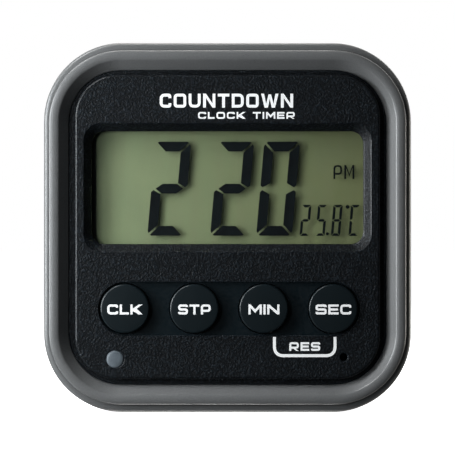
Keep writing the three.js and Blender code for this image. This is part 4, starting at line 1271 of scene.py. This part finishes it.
KEPT_NODES = {
    "lcd_frame": HOLDER_WHITE, "zebra_strip": CONTACT_RUBBER, "main_board": BOARD,
    "chip_blob": EPOXY, "crystal_can": NICKEL, "capacitor": EPOXY, "alarm_led": CLEAR_EPOXY,
    "temperature_sensor": EPOXY, "piezo_disc": BRASS, "piezo_lead_red": RED_JACKET,
    "piezo_lead_black": BLACK_JACKET, "mode_switch_body": STEEL, "bridge_contact": NICKEL,
    "positive_contact": NICKEL, "negative_contact": NICKEL,
}


def keep_node(node, material):
    obj = frame["nodes"][node]
    obj.data.materials.clear()
    obj.data.materials.append(material)
    weld = obj.modifiers.new("weld", "WELD")
    weld.merge_threshold = 1e-6
    soften(obj, 0.06, 2, 40)


make_bezel()
make_panel()
for key in KEYS:
    make_key(key)
    key_legend(key)
face_legends()
make_key_sheet()
make_display()
make_lamp()
make_housing()
make_door()
make_stand()
for name in CASE_SCREWS:
    make_screw(name, 2.1, 0.95)
for name in BOARD_SCREWS:
    make_screw(name, 1.5, 0.65)
for name in MAGNETS:
    make_magnet(name)
make_slider()
for name in CELLS:
    make_cell(name)
make_spring("spring_upper", "battery_upper")
make_spring("spring_lower", "battery_lower")
for name, material in KEPT_NODES.items():
    keep_node(name, material)


# ---------------------------------------------------------------- stage, light and camera


def make_floor():
    mesh = bpy.data.meshes.new("floor")
    reach = 4.0
    corners = [(-reach, -reach, 0), (reach, -reach, 0), (reach, reach, 0), (-reach, reach, 0)]
    mesh.from_pydata(corners, [], [(0, 1, 2, 3)])
    floor = linked("floor", mesh)
    n = Nodes("floor_white")
    tone = n.blend(n.share(0, 1, 8, 2), rgb(0.86, 0.86, 0.86), rgb(0.9, 0.9, 0.9))
    n.shader.inputs["Emission Color"].default_value = rgb(1, 1, 1)
    n.shader.inputs["Emission Strength"].default_value = 1.0
    mesh.materials.append(n.set(Base_Color=tone, Roughness=0.8))
    floor.visible_glossy = False
    floor.visible_diffuse = False
    floor.visible_shadow = False
    floor.location.z = -0.0002


def area_light(name, offset, width, height, power, colour):
    """A rectangular lamp at an offset from the middle of the case, turned towards it."""
    data = bpy.data.lights.new(name, "AREA")
    data.shape = "RECTANGLE"
    data.size = width
    data.size_y = height
    data.energy = power
    data.color = colour
    light = linked(name, data)
    light.location = CENTRE + Vector(offset)
    light.rotation_euler = (CENTRE - light.location).to_track_quat("-Z", "Y").to_euler()


def make_world():
    """White for the camera, a dim room for everything else."""
    world_data = bpy.data.worlds.new("studio")
    bpy.context.scene.world = world_data
    world_data.use_nodes = True
    tree = world_data.node_tree
    tree.nodes.clear()
    path = tree.nodes.new("ShaderNodeLightPath")
    room = tree.nodes.new("ShaderNodeBackground")
    room.inputs["Color"].default_value = rgb(0.9, 0.95, 1.0)
    room.inputs["Strength"].default_value = 0.025
    white = tree.nodes.new("ShaderNodeBackground")
    white.inputs["Color"].default_value = rgb(1, 1, 1)
    mix = tree.nodes.new("ShaderNodeMixShader")
    out = tree.nodes.new("ShaderNodeOutputWorld")
    tree.links.new(path.outputs["Is Camera Ray"], mix.inputs[0])
    tree.links.new(room.outputs[0], mix.inputs[1])
    tree.links.new(white.outputs[0], mix.inputs[2])
    tree.links.new(mix.outputs[0], out.inputs["Surface"])


CENTRE = world(0, housing.cy, 0)
VIEW_WIDTH = 0.0867  # what the picture's width spans at the face
DISTANCE = 0.6


def make_camera():
    data = bpy.data.cameras.new("camera")
    camera = linked("camera", data)
    data.sensor_width = 36
    data.lens = 36 * DISTANCE / VIEW_WIDTH
    data.clip_start = 0.01
    data.clip_end = 20
    camera.location = CENTRE + Vector((0, -DISTANCE - LIP_Z * MM, 0))
    camera.rotation_euler = (math.radians(90), 0, 0)
    bpy.context.scene.camera = camera


make_floor()
make_world()
make_camera()
LEFT_TINT = (0.93, 0.97, 1.0)
LIGHTS = (  # name, offset in metres, width, height, power, colour
    ("near_left", (-0.13, -0.065, 0.02), 0.03, 0.1, 0.152, LEFT_TINT),
    ("near_front", (-0.10, -0.08, 0.02), 0.03, 0.1, 0.04, LEFT_TINT),
    ("far_left", (-0.34, -0.1, 0.04), 0.1, 0.2, 0.48, LEFT_TINT),
    ("sheen", (-0.19, -0.33, 0.03), 0.05, 0.16, 0.2, (0.9, 0.96, 1.0)),
    ("high_left", (-0.15, -0.12, 0.24), 0.1, 0.14, 0.5, (0.98, 0.99, 1.0)),
    ("low_left", (-0.2, -0.1, -0.2), 0.1, 0.14, 0.06, (1.0, 0.99, 0.97)),
    ("top_edge", (-0.02, 0.05, 0.36), 0.12, 0.12, 0.6, (1.0, 0.98, 0.94)),
    ("low_edge", (-0.02, 0.05, -0.36), 0.12, 0.12, 0.5, (1.0, 0.99, 0.97)),
    ("right_edge", (0.36, 0.06, -0.02), 0.12, 0.12, 0.6, (1.0, 0.96, 0.88)),
    ("back_fill", (0.25, 0.45, 0.3), 0.6, 0.6, 3.0, (1, 1, 1)),
)
for light in LIGHTS:
    area_light(*light)

scene = bpy.context.scene
scene.view_settings.view_transform = "Standard"
scene.view_settings.look = "None"
